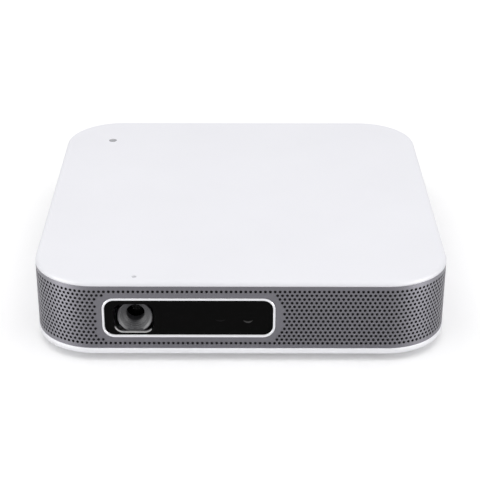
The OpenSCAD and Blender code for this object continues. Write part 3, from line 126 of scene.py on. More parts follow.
class Finish(Graph):
    """A material. Looks that are the same all over are set on the shader's own sockets."""

    def __init__(self, name, colour, roughness, **looks):
        self.material = bpy.data.materials.new(name)
        self.material.use_nodes = True
        super().__init__(self.material.node_tree)
        self.shader = self.tree.nodes["Principled BSDF"]
        self.coordinates = self.tree.nodes.new("ShaderNodeTexCoord")
        self.set("Base Color", colour)
        self.set("Roughness", roughness)
        for socket, value in looks.items():
            self.set(socket.replace("_", " "), value)

    def set(self, socket, value):
        self.put(self.shader.inputs[socket], value)

    def get(self, socket):
        target = self.shader.inputs[socket]
        if target.is_linked:
            return Wire(self, target.links[0].from_socket)
        return tuple(target.default_value) if socket == "Base Color" else target.default_value

    def place(self):
        """Where a point lies on the piece, in metres."""
        return Wire(self, self.coordinates.outputs["Object"])

    def axis(self, name):
        """One of the place's three measures, X, Y or Z."""
        return self.node("ShaderNodeSeparateXYZ", inputs=[self.place()], output=name)

    def noise(self, size, detail=2.0, seed=0.0):
        """Smooth noise from 0 to 1 with features of that size, in metres."""
        place = self.node("ShaderNodeVectorMath", {"operation": "ADD"}, [self.place(), (seed, seed, 0)])
        inputs = {"Vector": place, "Scale": 1 / size, "Detail": detail}
        return self.node("ShaderNodeTexNoise", inputs=inputs)

    def blend(self, share, first, second):
        """The first colour where share is 0 and the second where it is 1."""
        return self.node("ShaderNodeMix", {"data_type": "RGBA"}, {0: share, 6: first, 7: second}, 2)

    def inside(self, **limits):
        """1 between the limits along the named axes, in metres, and 0 outside."""
        share = 1
        for name, (low, high) in limits.items():
            share = (self.axis(name) > low) * (self.axis(name) < high) * share
        return share

    def patch(self, share, colour, roughness, metallic=0.0):
        """Another look where share is 1."""
        self.set("Base Color", self.blend(share, self.get("Base Color"), colour))
        for socket, value in (("Roughness", roughness), ("Metallic", metallic)):
            old = self.get(socket)
            self.set(socket, share * (value - old) + old)

    def relief(self, height, depth):
        """Raises the surface by height, 0 to 1, times a depth in metres."""
        inputs = {"Height": height, "Distance": depth, "Strength": 1.0}
        self.set("Normal", self.node("ShaderNodeBump", inputs=inputs))


def moulded(name, colour, roughness, grain=0.12 * MM, depth=0.004 * MM, **looks):
    """Moulded plastic: a fine spark-eroded grain, and gloss that drifts a little over the surface."""
    finish = Finish(name, colour, roughness, **looks)
    swing = 0.1
    finish.set("Roughness", finish.noise(28 * MM, seed=3.1) * swing + (roughness - swing / 2))
    cloud = finish.noise(46 * MM, detail=3.0, seed=1.7)
    finish.set("Base Color", finish.blend(cloud, dimmed(colour, 0.955), colour))
    finish.relief(finish.noise(grain, detail=1.0), depth)
    return finish


def smooth_piece(name, mesh):
    """An object for a mesh, with its round faces shaded smooth and its edges kept."""
    roundest = math.radians(28)
    mesh.shade_smooth()
    mesh.set_sharp_from_angle(angle=roundest)
    piece = bpy.data.objects.new(name, mesh)
    bpy.context.scene.collection.objects.link(piece)
    return piece


def settled(piece, body="housing", node=None):
    """The piece rides on its body and replaces its CAD node, which is hidden."""
    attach(piece, body)
    if node:
        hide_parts(node)


def levelled(piece):
    """The piece with its flat walls shaded flat right up to their round edges."""
    piece.modifiers.new("flat_walls", "WEIGHTED_NORMAL").keep_sharp = True
    shaded = piece.evaluated_get(bpy.context.evaluated_depsgraph_get())
    mesh = bpy.data.meshes.new_from_object(shaded)
    piece.modifiers.clear()
    piece.data = mesh
    return piece


def refined(node, finish, body="housing"):
    """A copy of a CAD node with its facets merged and its round faces shaded smooth."""
    weld = 0.0005 * MM
    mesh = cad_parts[node].data.copy()
    shape = bmesh.new()
    shape.from_mesh(mesh)
    bmesh.ops.remove_doubles(shape, verts=shape.verts, dist=weld)
    shape.to_mesh(mesh)
    shape.free()
    mesh.materials.clear()
    mesh.materials.append(finish.material)
    settled(levelled(smooth_piece(node + "_piece", mesh)), body, node)


white_plastic = moulded("white_plastic", srgb(248, 248, 252), 0.56, Specular_IOR_Level=0.22)
refined("base_tray", white_plastic)


# ---- Feet, screws and tripod insert ----
# Four soft rubber feet are pressed into round recesses over the long zinc-plated screws that
# hold the housing together. A brass insert with a thread takes a tripod's screw.

rubber = moulded("rubber", srgb(38, 38, 40), 0.82, grain=0.3 * MM, depth=0.012 * MM)
refined("rubber_feet", rubber)


def plated(name, colour, roughness, brush=None):
    """Bare or plated metal with fine marks, drawn out by the brush's three factors where given."""
    finish = Finish(name, colour, roughness, Metallic=1.0)
    if brush:
        mark_scale = 900.0
        place = finish.node("ShaderNodeVectorMath", {"operation": "MULTIPLY"}, [finish.place(), brush])
        marks = finish.node("ShaderNodeTexNoise", inputs={"Vector": place, "Scale": mark_scale})
    else:
        marks = finish.noise(0.6 * MM, detail=4.0)
    cloud = finish.noise(9 * MM, detail=3.0, seed=5.0)
    fine, broad = 0.12, 0.1
    finish.set("Roughness", marks * fine + cloud * broad + (roughness - (fine + broad) / 2))
    finish.set("Base Color", finish.blend(cloud, dimmed(colour, 0.8), colour))
    finish.relief(marks, 0.006 * MM)
    return finish


zinc = plated("zinc_plate", srgb(196, 198, 202), 0.34)
brass = plated("turned_brass", srgb(214, 178, 96), 0.3)
refined("housing_screws", zinc)
refined("tripod_insert", brass)


# ---- Tilt foot ----
# A dark flap under the front that folds down about a steel pin to raise the picture. Its inner
# face is hollowed to save plastic, and a notch in the base takes a fingertip.

flap_plastic = moulded("flap_plastic", srgb(70, 70, 73), 0.5)
refined("tilt_foot", flap_plastic, "tilt_foot")
refined("tilt_foot_pin", zinc)


# ---- Inner frame ----
# A black moulded ring wall stands behind the perforated band and carries the front window and
# the rear panel. Its side walls are slotted for the cooling air and the sound.

black_plastic = moulded("black_plastic", srgb(14, 14, 15), 0.62, depth=0.006 * MM)
refined("inner_frame", black_plastic)


# ---- Perforated band ----
# One strip of thin sheet metal, punched with fifteen staggered rows of round holes, painted a
# satin metal grey and bent round the four corners. It is left plain round the two openings.

band_low, band_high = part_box("grille_band")
bezel_low, bezel_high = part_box("window_bezel")
panel_low, panel_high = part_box("rear_io_panel")
flange = 2.2 * MM
corner_radius = 30 * MM
band_sheet = 0.7 * MM
straight = 2 * (band_high.x - corner_radius)
corner_run = corner_radius * math.pi / 2
perimeter = 4 * (straight + corner_run)
front_at = perimeter / 4
rear_at = perimeter * 3 / 4
band_height = band_high.z - band_low.z
rows = 15
first_row = 2.78 * MM
row_pitch = 1.976 * MM
holes_round = round(perimeter / (2.278 * MM))
hole_radius = 0.75 * MM
hole_sides = 9
hole_margin = 3.25 * MM
opening_radius = 5.9 * MM
opening_steps = 12
opening_slip = 0.1 * MM
# Each opening: its middle along the band, and the box of the piece that fills it
openings = [
    (front_at + (bezel_low.x + bezel_high.x) / 2, bezel_low, bezel_high),
    (rear_at - (panel_low.x + panel_high.x) / 2, panel_low, panel_high),
]


class Shape(Graph):
    """A geometry tree with named inputs and one geometry output."""

    def __init__(self, name, **inputs):
        tree = bpy.data.node_groups.new(name, "GeometryNodeTree")
        super().__init__(tree)
        self.values = {}
        for label, value in inputs.items():
            kind = "NodeSocketInt" if isinstance(value, int) else "NodeSocketFloat"
            item = tree.interface.new_socket(label, in_out="INPUT", socket_type=kind)
            self.values[label] = (item.identifier, value)
        tree.interface.new_socket("Geometry", in_out="OUTPUT", socket_type="NodeSocketGeometry")
        self.source = tree.nodes.new("NodeGroupInput")

    def value(self, label):
        """The wire of one named input."""
        return Wire(self, self.source.outputs[label])

    def vector(self, x, y, z=0.0):
        return self.node("ShaderNodeCombineXYZ", inputs=[x, y, z])

    def join(self, *parts):
        joined = self.tree.nodes.new("GeometryNodeJoinGeometry")
        for part in parts:
            self.put(joined.inputs[0], part)
        return Wire(self, joined.outputs[0])

    def sheet(self, width, height, columns, lines):
        """A flat mesh grid with that many points each way."""
        sizes = {"Size X": width, "Size Y": height, "Vertices X": columns, "Vertices Y": lines}
        return self.node("GeometryNodeMeshGrid", inputs=sizes)

    def outline(self, mesh):
        """The open edges of a mesh as curves."""
        rim = self.node("GeometryNodeInputMeshEdgeNeighbors") < 2
        return self.node("GeometryNodeMeshToCurve", inputs=[mesh, rim])

    def filled(self, *curves):
        """The flat area between curves that lie inside each other."""
        return self.node("GeometryNodeFillCurve", {"mode": "TRIANGLES"}, [self.join(*curves)])

    def copies(self, points, shape):
        """A real copy of the shape on every point."""
        placed = self.node("GeometryNodeInstanceOnPoints", inputs={"Points": points, "Instance": shape})
        return self.node("GeometryNodeRealizeInstances", inputs=[placed])

    def moved(self, shape, x, y):
        inputs = {"Geometry": shape, "Translation": self.vector(x, y)}
        return self.node("GeometryNodeTransform", inputs=inputs)

    def welded(self, mesh, reach=0.001 * MM):
        return self.node("GeometryNodeMergeByDistance", inputs={"Geometry": mesh, "Distance": reach})

    def made(self, name, geometry, finish, modifiers=()):
        """Realizes the geometry, gives it its material and returns it as a plain mesh object."""
        solid = self.node("GeometryNodeRealizeInstances", inputs=[geometry])
        inputs = {"Geometry": solid, "Material": finish.material}
        dressed = self.node("GeometryNodeSetMaterial", inputs=inputs)
        self.put(self.tree.nodes.new("NodeGroupOutput").inputs[0], dressed)
        holder = bpy.data.objects.new(name + "_source", bpy.data.meshes.new(name + "_source"))
        bpy.context.scene.collection.objects.link(holder)
        modifier = holder.modifiers.new("shape", "NODES")
        modifier.node_group = self.tree
        for identifier, value in self.values.values():
            modifier[identifier] = value
        for kind, settings in modifiers:
            extra = holder.modifiers.new(kind.lower(), kind)
            for key, value in settings.items():
                setattr(extra, key, value)
        evaluated = holder.evaluated_get(bpy.context.evaluated_depsgraph_get())
        mesh = bpy.data.meshes.new_from_object(evaluated)
        bpy.data.objects.remove(holder)
        return smooth_piece(name, mesh)


band = Shape(
    "perforated_band", Perimeter=perimeter, Height=band_height, Columns=holes_round, Rows=rows,
    First_Row=first_row, Row_Pitch=row_pitch, Hole_Radius=hole_radius, Margin=hole_margin,
    Corner=corner_radius,
)
length = band.value("Perimeter")
pitch = length / band.value("Columns")
# One tile a hole: a brick of the sheet with the hole cut out of it
brick = band.sheet(pitch, band.value("Row_Pitch"), 3, 2)
round_hole = band.node("GeometryNodeCurvePrimitiveCircle", inputs={
    "Resolution": hole_sides, "Radius": band.value("Hole_Radius"),
})
tile = band.filled(band.outline(brick), round_hole)

# One point a hole, in staggered rows, on the band laid out flat
span = (band.value("Rows") - 1) * band.value("Row_Pitch")
grid = band.sheet(length - pitch, span, band.value("Columns"), band.value("Rows"))
row = band.node("GeometryNodeInputIndex") % band.value("Rows")
stagger = ((row % 2) * 0.5 - 0.25) * pitch
points = band.node("GeometryNodeSetPosition", inputs={
    "Geometry": grid,
    "Offset": band.vector(stagger + length / 2, span * -0.5 - band.value("First_Row") + band_high.z),
})
spot = band.node("GeometryNodeInputPosition")
spot_s = band.node("ShaderNodeSeparateXYZ", inputs=[spot], output="X")
spot_z = band.node("ShaderNodeSeparateXYZ", inputs=[spot], output="Y")
# Holes that would come too near an opening are left out
near = None
frame_lines = []
for at, low, high in openings:
    half_w = (high.x - low.x) / 2 - flange
    half_h = (high.z - low.z) / 2 - flange
    middle = (high.z + low.z) / 2
    over_s = (abs(spot_s - at) - (half_w - opening_radius)).math("MAXIMUM", 0)
    over_z = (abs(spot_z - middle) - (half_h - opening_radius)).math("MAXIMUM", 0)
    away = (over_s * over_s + over_z * over_z).math("SQRT") - opening_radius
    close = away < band.value("Margin")
    near = close if near is None else near.math("MAXIMUM", close)
    line = band.node("GeometryNodeCurvePrimitiveQuadrilateral", inputs={
        "Width": 2 * (half_w + opening_slip), "Height": 2 * (half_h + opening_slip),
    })
    line = band.node("GeometryNodeFilletCurve", {"mode": "POLY"}, {
        "Curve": line, "Radius": opening_radius, "Count": opening_steps,
    })
    frame_lines.append(band.moved(line, at, middle))
plain_points = band.node("GeometryNodeSeparateGeometry", inputs=[points, near])
hole_points = band.node("GeometryNodeSeparateGeometry", inputs=[points, near], output=1)
plain_area = band.welded(band.copies(plain_points, brick))
margins = band.filled(band.outline(plain_area), *frame_lines)
# The plain strips below and above the rows
strips = []
low_strip = band.value("Height") - band.value("First_Row") - span - band.value("Row_Pitch") * 0.5
high_strip = band.value("First_Row") - band.value("Row_Pitch") * 0.5
for strip, centre in (
    (low_strip, low_strip * 0.5 + band_low.z), (high_strip, high_strip * -0.5 + band_high.z),
):
    flat = band.sheet(length, strip, band.value("Columns") * 2 + 1, 2)
    strips.append(band.moved(flat, length / 2 - pitch * 0.25, centre))
flat_band = band.join(band.copies(hole_points, tile), margins, *strips)

# The flat band is bent round the plan: a side, a corner, and so on four times
quarter = (spot_s / front_at).math("FLOOR")
run = spot_s - quarter * front_at
turn = ((run - straight / 2) / band.value("Corner")).math("MAXIMUM", 0).math("MINIMUM", math.pi / 2)
before = run.math("MINIMUM", straight / 2)
after = (run - (straight / 2 + corner_run)).math("MAXIMUM", 0)
bent = band.vector(
    after - turn.math("COSINE") * band.value("Corner") - straight / 2,
    turn.math("SINE") * (band.value("Corner") * -1) - before,
    spot_z,
)
turned = band.node("ShaderNodeVectorRotate", {"rotation_type": "Z_AXIS"}, {
    "Vector": bent, "Angle": quarter * (math.pi / 2),
})
wrapped = band.welded(band.node("GeometryNodeSetPosition", inputs={
    "Geometry": flat_band, "Position": turned,
}))

band_paint = Finish("band_paint", srgb(96, 95, 100), 0.37, Metallic=0.9)
flake = band_paint.noise(0.16 * MM, detail=1.0)
drift = band_paint.noise(30 * MM, seed=2.0)
band_paint.set("Base Color", band_paint.blend(flake, srgb(92, 91, 96), srgb(101, 100, 105)))
band_paint.set("Roughness", drift * 0.06 + flake * 0.08 + 0.3)
band_paint.relief(flake, 0.003 * MM)
grille = band.made("perforated_band", wrapped, band_paint, [
    ("SOLIDIFY", {"thickness": band_sheet, "offset": -1.0}),
])
settled(grille, node="grille_band")


# ---- Front window ----
# A gloss white moulded ring clamps a thin plate of black acrylic in the band's front opening. The
# plate has one cut-out for the lens, and two sensors look out through it, right of its middle.

def lofted(name, loops, finish, ring=True):
    """A skin over loops of points. A ring joins the last loop to the first, and a bar is capped."""
    count = len(loops[0])
    last = len(loops) if ring else len(loops) - 1
    faces = []
    for i in range(last):
        here, there = i * count, (i + 1) % len(loops) * count
        faces += [
            (here + k, here + (k + 1) % count, there + (k + 1) % count, there + k) for k in range(count)
        ]
    if not ring:
        faces += [tuple(range(count)), tuple(last * count + k for k in range(count))]
    mesh = bpy.data.meshes.new(name)
    mesh.from_pydata([point for loop in loops for point in loop], [], faces)
    shape = bmesh.new()
    shape.from_mesh(mesh)
    bmesh.ops.recalc_face_normals(shape, faces=shape.faces)
    shape.to_mesh(mesh)
    shape.free()
    mesh.materials.append(finish.material)
    return smooth_piece(name, mesh)


def rounded(centre, width, height, radius, y, corners=(0, 1, 2, 3), steps=8):
    """Points round an upright rectangle with round corners, counted from the upper right one."""
    points = []
    for corner in corners:
        x = centre.x + (1, -1, -1, 1)[corner] * (width / 2 - radius)
        z = centre.z + (1, 1, -1, -1)[corner] * (height / 2 - radius)
        for step in range(steps + 1):
            a = math.radians(90) * (corner + step / steps)
            points.append((x + radius * math.cos(a), y, z + radius * math.sin(a)))
    return points


gloss_white = Finish("gloss_white", srgb(250, 250, 254), 0.16, Coat_Weight=0.4, Coat_Roughness=0.08)
gloss_white.relief(gloss_white.noise(5 * MM, detail=1.0), 0.004 * MM)
bezel_middle = (bezel_low + bezel_high) / 2
bezel_width = bezel_high.x - bezel_low.x - 2 * flange
bezel_height = bezel_high.z - bezel_low.z - 2 * flange
bezel_radius = 5.8 * MM
bezel_wall = 1.05 * MM
flange_sheet = 1.15 * MM
flange_front = bezel_high.y - flange_sheet
edge = 0.3 * MM
edge_steps = 4
# The ring in section: how far in from its outline, and how deep
bezel_section = [(-flange, flange_front), (-flange, bezel_high.y), (bezel_wall, bezel_high.y)]
for corner, into in enumerate((bezel_wall - edge, edge)):
    for step in range(edge_steps + 1):
        a = math.radians(90) * (corner + step / edge_steps)
        bezel_section.append((into + edge * math.cos(a), bezel_low.y + edge - edge * math.sin(a)))
bezel_section.append((0, flange_front))
bezel_loops = [
    rounded(bezel_middle, bezel_width - 2 * into, bezel_height - 2 * into, bezel_radius - into, y)
    for into, y in bezel_section
]
settled(lofted("window_ring", bezel_loops, gloss_white), node="window_bezel")

cutout_width, cutout_height, cutout_radius = 18.6 * MM, 15.3 * MM, 4.3 * MM
cutout_shift, cutout_drop = 0.5 * MM, 0.55 * MM
plate_set_back, plate_sheet, plate_slip = 0.8 * MM, 1.2 * MM, 0.05 * MM
plate_front = bezel_low.y + plate_set_back
plate_back = plate_front + plate_sheet
hood_low, hood_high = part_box("lens_hood")
lens_x = (hood_low.x + hood_high.x) / 2
cutout_middle = Vector((lens_x - cutout_shift, 0, bezel_middle.z - cutout_drop))
plate_trim = 2 * (bezel_wall + plate_slip)
plate_outline = (
    bezel_middle, bezel_width - plate_trim, bezel_height - plate_trim, bezel_radius - plate_trim / 2,
)
cutout_outline = (cutout_middle, cutout_width, cutout_height, cutout_radius)
plate_loops = [
    rounded(*plate_outline, plate_front), rounded(*plate_outline, plate_back),
    rounded(*cutout_outline, plate_back), rounded(*cutout_outline, plate_front),
]
acrylic_and_painted_glints = Finish("black_acrylic", grey(5), 0.1, Specular_IOR_Level=0.04)
acrylic_and_painted_glints.set("Roughness", acrylic_and_painted_glints.noise(12 * MM, detail=3.0) * 0.08 + 0.05)
# The lit lower edges of the two sensors behind the plate are painted on its colour as pale crescents
# between two circles: painted highlights. Each has its middle, its bottom, the radius of the lower and
# the upper circle, its width and the grey level of its painted highlight
for sensor_x, bottom, lower_radius, upper_radius, width, level in (
    (3.4 * MM, -2.95 * MM, 2.35 * MM, 4.5 * MM, 0.95 * MM, 62),
    (-9.6 * MM, -2.15 * MM, 3.4 * MM, 8.0 * MM, 0.7 * MM, 24),
):
    far_x = acrylic_and_painted_glints.axis("X") - sensor_x
    low_z = acrylic_and_painted_glints.axis("Z") - (bezel_middle.z + bottom + lower_radius)
    high_z = acrylic_and_painted_glints.axis("Z") - (bezel_middle.z + bottom + width + upper_radius)
    inside = (far_x * far_x + low_z * low_z).math("SQRT") < lower_radius
    outside = (far_x * far_x + high_z * high_z).math("SQRT") > upper_radius
    # The crescent between the two circles is painted paler: a painted highlight
    acrylic_and_painted_glints.set("Base Color", acrylic_and_painted_glints.blend(inside * outside, acrylic_and_painted_glints.get("Base Color"), grey(level)))
settled(lofted("window_plate", plate_loops, acrylic_and_painted_glints), node="front_window")


# ---- Lens hood ----
# A grey moulded funnel behind the cut-out keeps stray light off the lens. It has fine steps, a
# straight throat and a flat below. Its lip along the cut-out's lower edge is pale grey, a painted
# highlight where light catches that edge.

hood_plastic = moulded(
    "hood_plastic", srgb(66, 66, 69), 0.62, depth=0.003 * MM, Specular_IOR_Level=0.22,
)
cad_hood_radius = 8.9 * MM
lens_z = hood_high.z - cad_hood_radius
outer_radius, front_radius, front_edge = 8.3 * MM, 8.15 * MM, 0.2 * MM
throat_radius, throat_length = 4.4 * MM, 4.6 * MM
hood_depth = hood_high.y - throat_length - hood_low.y
mouth_rise, throat_rise = 0.6 * MM, 0.5 * MM
flat_drop, hood_wall = 6.9 * MM, 0.6 * MM
outer_drop = flat_drop + hood_wall
# Radius in mm and share of the depth along the stepped cone, from its front to its throat
cone = [
    (7.9, 0.0), (7.75, 0.04), (7.1, 0.2), (6.85, 0.22), (6.4, 0.42), (6.15, 0.44),
    (5.8, 0.62), (5.55, 0.64), (5.1, 0.82), (4.85, 0.84), (4.48, 0.99), (4.4, 1.0),
]
# Radius, depth, rise of the centre and how far the flat below is from it, round the hood's section
hood_section = [
    (outer_radius, hood_high.y, 0, flat_drop),
    (outer_radius, hood_low.y + front_edge, mouth_rise, outer_drop),
    (front_radius, hood_low.y, mouth_rise, outer_drop),
]
for radius, share in cone:
    rise = mouth_rise + (throat_rise - mouth_rise) * share
    hood_section.append((radius * MM, hood_low.y + hood_depth * share, rise, flat_drop))
hood_section.append((throat_radius, hood_high.y, throat_rise, flat_drop))
hood_steps = 72
hood_loops = []
for radius, y, rise, drop in hood_section:
    ring_points = []
    for step in range(hood_steps):
        a = math.radians(360) * step / hood_steps
        ring_points.append((
            lens_x + radius * math.cos(a), y, lens_z + rise + max(radius * math.sin(a), -drop),
        ))
    hood_loops.append(ring_points)
settled(lofted("stepped_hood", hood_loops, hood_plastic), node="lens_hood")

# How far in from the cut-out's edge, and how deep, in mm, round the lip's section
lip_section = [(0.02, 0.9), (0.38, 0.85), (0.42, 0.3), (0.28, 0.0), (0.0, -0.06), (-0.04, 0.1)]
lip_loops = []
# The lip runs along the two lower corners, less a few points at its ends. A second path that lies
# 1 mm further in gives its direction inwards
lower_corners, lip_steps, lip_ends = (2, 3), 14, slice(3, -6)
lip_path = rounded(*cutout_outline, plate_front, lower_corners, lip_steps)[lip_ends]
inner_path = rounded(
    cutout_middle, cutout_width - 2 * MM, cutout_height - 2 * MM, cutout_radius - MM,
    plate_front, lower_corners, lip_steps,
)[lip_ends]
for outer_point, inner_point in zip(lip_path, inner_path):
    inward = (Vector(inner_point) - Vector(outer_point)) / MM
    lip_loops.append([
        Vector(outer_point) + (inward * into + Vector((0, depth, 0))) * MM for into, depth in lip_section
    ])
# The lip's pale grey is a painted highlight for the light caught on the cut-out's lower edge
lip_plastic = Finish("lip_plastic", grey(186), 0.3)
lip_plastic.set("Roughness", lip_plastic.noise(2 * MM) * 0.1 + 0.25)
settled(lofted("hood_lip", lip_loops, lip_plastic, ring=False))

# The front lens is tinted nearly black: painted shade, so that the deep throat behind the cut-out looks
# dark
front_glass = Finish(
    "front_glass", grey(48), 0.03, Transmission_Weight=1.0, IOR=1.52, Specular_Tint=grey(84),
)
refined("front_lens", front_glass)


# ---- Top cover ----
# The white upper shell: one moulded plate with a rounded rim, clipped down over the inner frame
# and held by four long screws from below. It has the same fine texture as the tray.

cover_plastic = moulded("cover_plastic", srgb(239, 239, 244), 0.6, Specular_IOR_Level=0.2)
refined("top_cover", cover_plastic)
smoked = Finish("smoked_window", srgb(146, 147, 152), 0.12, Coat_Weight=0.6)
smoke = smoked.noise(1.5 * MM)
smoked.set("Base Color", smoked.blend(smoke, srgb(138, 139, 145), srgb(150, 151, 156)))
refined("ir_receiver_window", smoked)
frosted = Finish(
    "frosted_pipe", srgb(206, 207, 212), 0.3, Subsurface_Weight=0.2, Subsurface_Radius=(MM, MM, MM),
)
frost = frosted.noise(0.8 * MM)
frosted.set("Base Color", frosted.blend(frost, srgb(198, 199, 205), srgb(212, 213, 217)))
refined("status_light_pipe", frosted)


# ---- Rear panel and ports ----
# A black moulded panel fills the band's rear opening. Nickel-plated shells, the sound jack and the
# power jack stand on the main board behind it, and a round button works a switch beside them.

panel_plastic = moulded("panel_plastic", srgb(24, 24, 26), 0.5, grain=0.2 * MM, depth=0.01 * MM)
refined("rear_io_panel", panel_plastic)
nickel = plated("nickel_plate", srgb(190, 190, 192), 0.24)
refined("board_shields", nickel)


def shell(node, rise, half_width, height, level):
    """A plated shell round a moulded tongue, whose rise, half width, height and shade are given."""
    shell_wall = 1.6 * MM
    low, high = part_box(node)
    finish = plated(node + "_plate", srgb(190, 190, 192), 0.22)
    middle_x = (low.x + high.x) / 2
    middle_z = (low.z + high.z) / 2 + rise
    tongue = finish.inside(
        X=(middle_x - half_width, middle_x + half_width),
        Y=(low.y + shell_wall, high.y), Z=(middle_z - height / 2, middle_z + height / 2),
    )
    finish.patch(tongue, grey(level), 0.45)
    refined(node, finish)


shell("hdmi_socket", 0.3 * MM, 5.35 * MM, 1.36 * MM, 18)
shell("usb_a_socket", 0.9 * MM, 5.6 * MM, 1.86 * MM, 22)
shell("usb_c_socket", 0, 3.35 * MM, 0.76 * MM, 18)
socket_plastic = moulded("socket_plastic", srgb(20, 20, 21), 0.45, grain=0.15 * MM)
refined("audio_jack", socket_plastic)
dc_low, dc_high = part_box("dc_jack")
dc_plastic = moulded("power_jack_plastic", srgb(20, 20, 21), 0.45, grain=0.15 * MM)
pin_radius, pin_drop = 1.15 * MM, 4.7 * MM
from_x = dc_plastic.axis("X") - (dc_low.x + dc_high.x) / 2
from_z = dc_plastic.axis("Z") - (dc_high.z - pin_drop)
on_pin = (from_x * from_x + from_z * from_z).math("SQRT") < pin_radius
dc_plastic.patch(on_pin, srgb(200, 200, 202), 0.25, 1.0)
refined("dc_jack", dc_plastic)
button_plastic = moulded("button_plastic", srgb(34, 34, 36), 0.34, grain=0.2 * MM, Coat_Weight=0.2)
refined("power_button", button_plastic, "power_button")
refined("switch_plunger", zinc, "power_button")
refined("power_switch", socket_plastic)


# ---- Projection lens ----
# Ground glass lenses sit in a black moulded barrel, screwed to the light engine by its square
# flange. The moving lens is held in a turned alloy carriage with three keys in the barrel's slots.

barrel_plastic = moulded("barrel_plastic", srgb(26, 26, 28), 0.5)
refined("lens_barrel", barrel_plastic)
turned_alloy = plated("turned_alloy", srgb(186, 188, 192), 0.3, brush=(0.4, 9.0, 0.4))
refined("lens_carriage", turned_alloy, "lens_carriage")
coated_glass = Finish("coated_glass", srgb(236, 238, 242), 0.02, Transmission_Weight=1.0, IOR=1.52)
refined("moving_lens", coated_glass, "lens_carriage")
refined("rear_lens", coated_glass)


# ---- Focus drive ----
# A small motor on a bent steel bracket turns a brass pinion. The pinion drives the toothed ring
# on the barrel, which a spring clip keeps in place, and the ring draws the carriage along.

gear_plastic = moulded("gear_plastic", srgb(62, 62, 65), 0.38, grain=0.25 * MM)
refined("focus_ring", gear_plastic, "focus_ring")
spring_steel = plated("spring_steel", srgb(172, 174, 178), 0.28)
refined("ring_clip", spring_steel)
refined("focus_pinion", brass, "focus_pinion")
drawn_steel = plated("drawn_steel", srgb(182, 183, 186), 0.3, brush=(9.0, 0.3, 9.0))
refined("focus_motor", drawn_steel)
refined("motor_bracket", zinc)


# ---- Light engine ----
# A die-cast alloy box holds the prism, the colour plates and the relay lens. Three lamps on
# copper plates are screwed to its side and rear, and the picture chip's board to its back wall.

cast = plated("cast_alloy", srgb(150, 151, 154), 0.55)
cast.relief(cast.noise(0.5 * MM, detail=3.0), 0.03 * MM)
refined("engine_housing", cast)
refined("engine_lid", cast)
optical_glass = Finish("optical_glass", srgb(240, 244, 248), 0.02, Transmission_Weight=1.0, IOR=1.52)
refined("light_prism", optical_glass)
refined("relay_lens", optical_glass)
colour_plate = Finish("colour_plate", srgb(150, 205, 235), 0.03, Transmission_Weight=0.9, IOR=1.5)
between_plates = -20 * MM
colour_plate.set("Base Color", colour_plate.blend(
    colour_plate.axis("Y") > between_plates, srgb(235, 190, 120), srgb(130, 190, 240),
))
refined("dichroic_plates", colour_plate)
black_anodised = plated("black_anodised", srgb(44, 44, 47), 0.4)
refined("dmd_heat_sink", black_anodised)
lamp_plate, lamp_gap = 1.6 * MM, 0.05 * MM
for node, axis, colour in (
    ("red_led_module", "X", srgb(225, 120, 90)),
    ("blue_led_module", "X", srgb(110, 140, 225)),
    ("green_led_module", "Y", srgb(225, 220, 110)),
):
    low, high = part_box(node)
    plate_face = (high.x if axis == "X" else high.y) - lamp_plate
    lamp_copper = plated(node + "_copper", srgb(205, 130, 92), 0.3)
    dome = lamp_copper.axis(axis) < plate_face - lamp_gap
    lamp_copper.patch(dome, colour, 0.15)
    refined(node, lamp_copper)


# ---- Cooling ----
# Heat runs from the lamps through copper blocks and round heat pipes to a stack of thin alloy
# fins. A radial blower beside the stack draws air up through the base and blows it out.

copper = plated("copper", srgb(208, 134, 96), 0.28)
refined("heat_spreaders", copper)
refined("heat_pipes", copper)
fin_alloy = plated("fin_alloy", srgb(206, 208, 212), 0.26)
refined("heat_sink_fins", fin_alloy)
refined("blower_housing", black_plastic)
refined("blower_lid", black_plastic)
rotor_plastic = moulded("rotor_plastic", srgb(44, 44, 46), 0.45)
refined("blower_rotor", rotor_plastic, "blower_rotor")


# ---- Boards ----
# Green glass-fibre boards with solder mask over etched copper. The main board carries the chips,
# plated shields and the ports, and the power board its coils and tall capacitors.

def circuit(name, flat=("X", "Y")):
    """Solder mask over fine tracks that run two ways, with tinned pads."""
    track_pitch, track_share = 0.9 * MM, 0.38
    pad_pitch, pad_share = 2.6 * MM, 0.16
    finish = Finish(name, srgb(24, 92, 58), 0.35, Coat_Weight=0.3)
    region = finish.noise(7 * MM, detail=1.0) > 0.5
    first, second = (((finish.axis(way) / track_pitch) % 1) < track_share for way in flat)
    tracks = region * first + (region * -1 + 1) * second
    finish.set("Base Color", finish.blend(tracks, srgb(20, 82, 50), srgb(40, 122, 78)))
    inputs = {"Vector": finish.place(), "Scale": 1 / pad_pitch}
    pads = finish.node("ShaderNodeTexVoronoi", inputs=inputs) < pad_share
    finish.patch(pads * tracks, srgb(206, 206, 200), 0.28, 1.0)
    return finish


# A limit of one metre either way lies outside the whole model
below, above = -1, 1
black_resin, can_alloy = grey(26), srgb(196, 198, 200)
board_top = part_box("main_board")[0].z + 1.6 * MM
chips_from, chips_to, cans_from, cans_left_of = 0.05 * MM, 2 * MM, 1.7 * MM, -15 * MM
main_circuit = circuit("main_circuit")
chips = main_circuit.inside(Z=(board_top + chips_from, board_top + chips_to))
main_circuit.patch(chips, black_resin, 0.5)
cans = main_circuit.inside(Z=(board_top + cans_from, above), X=(below, cans_left_of))
main_circuit.patch(cans, can_alloy, 0.3, 0.9)
refined("main_board", main_circuit)
refined("board_screws", zinc)

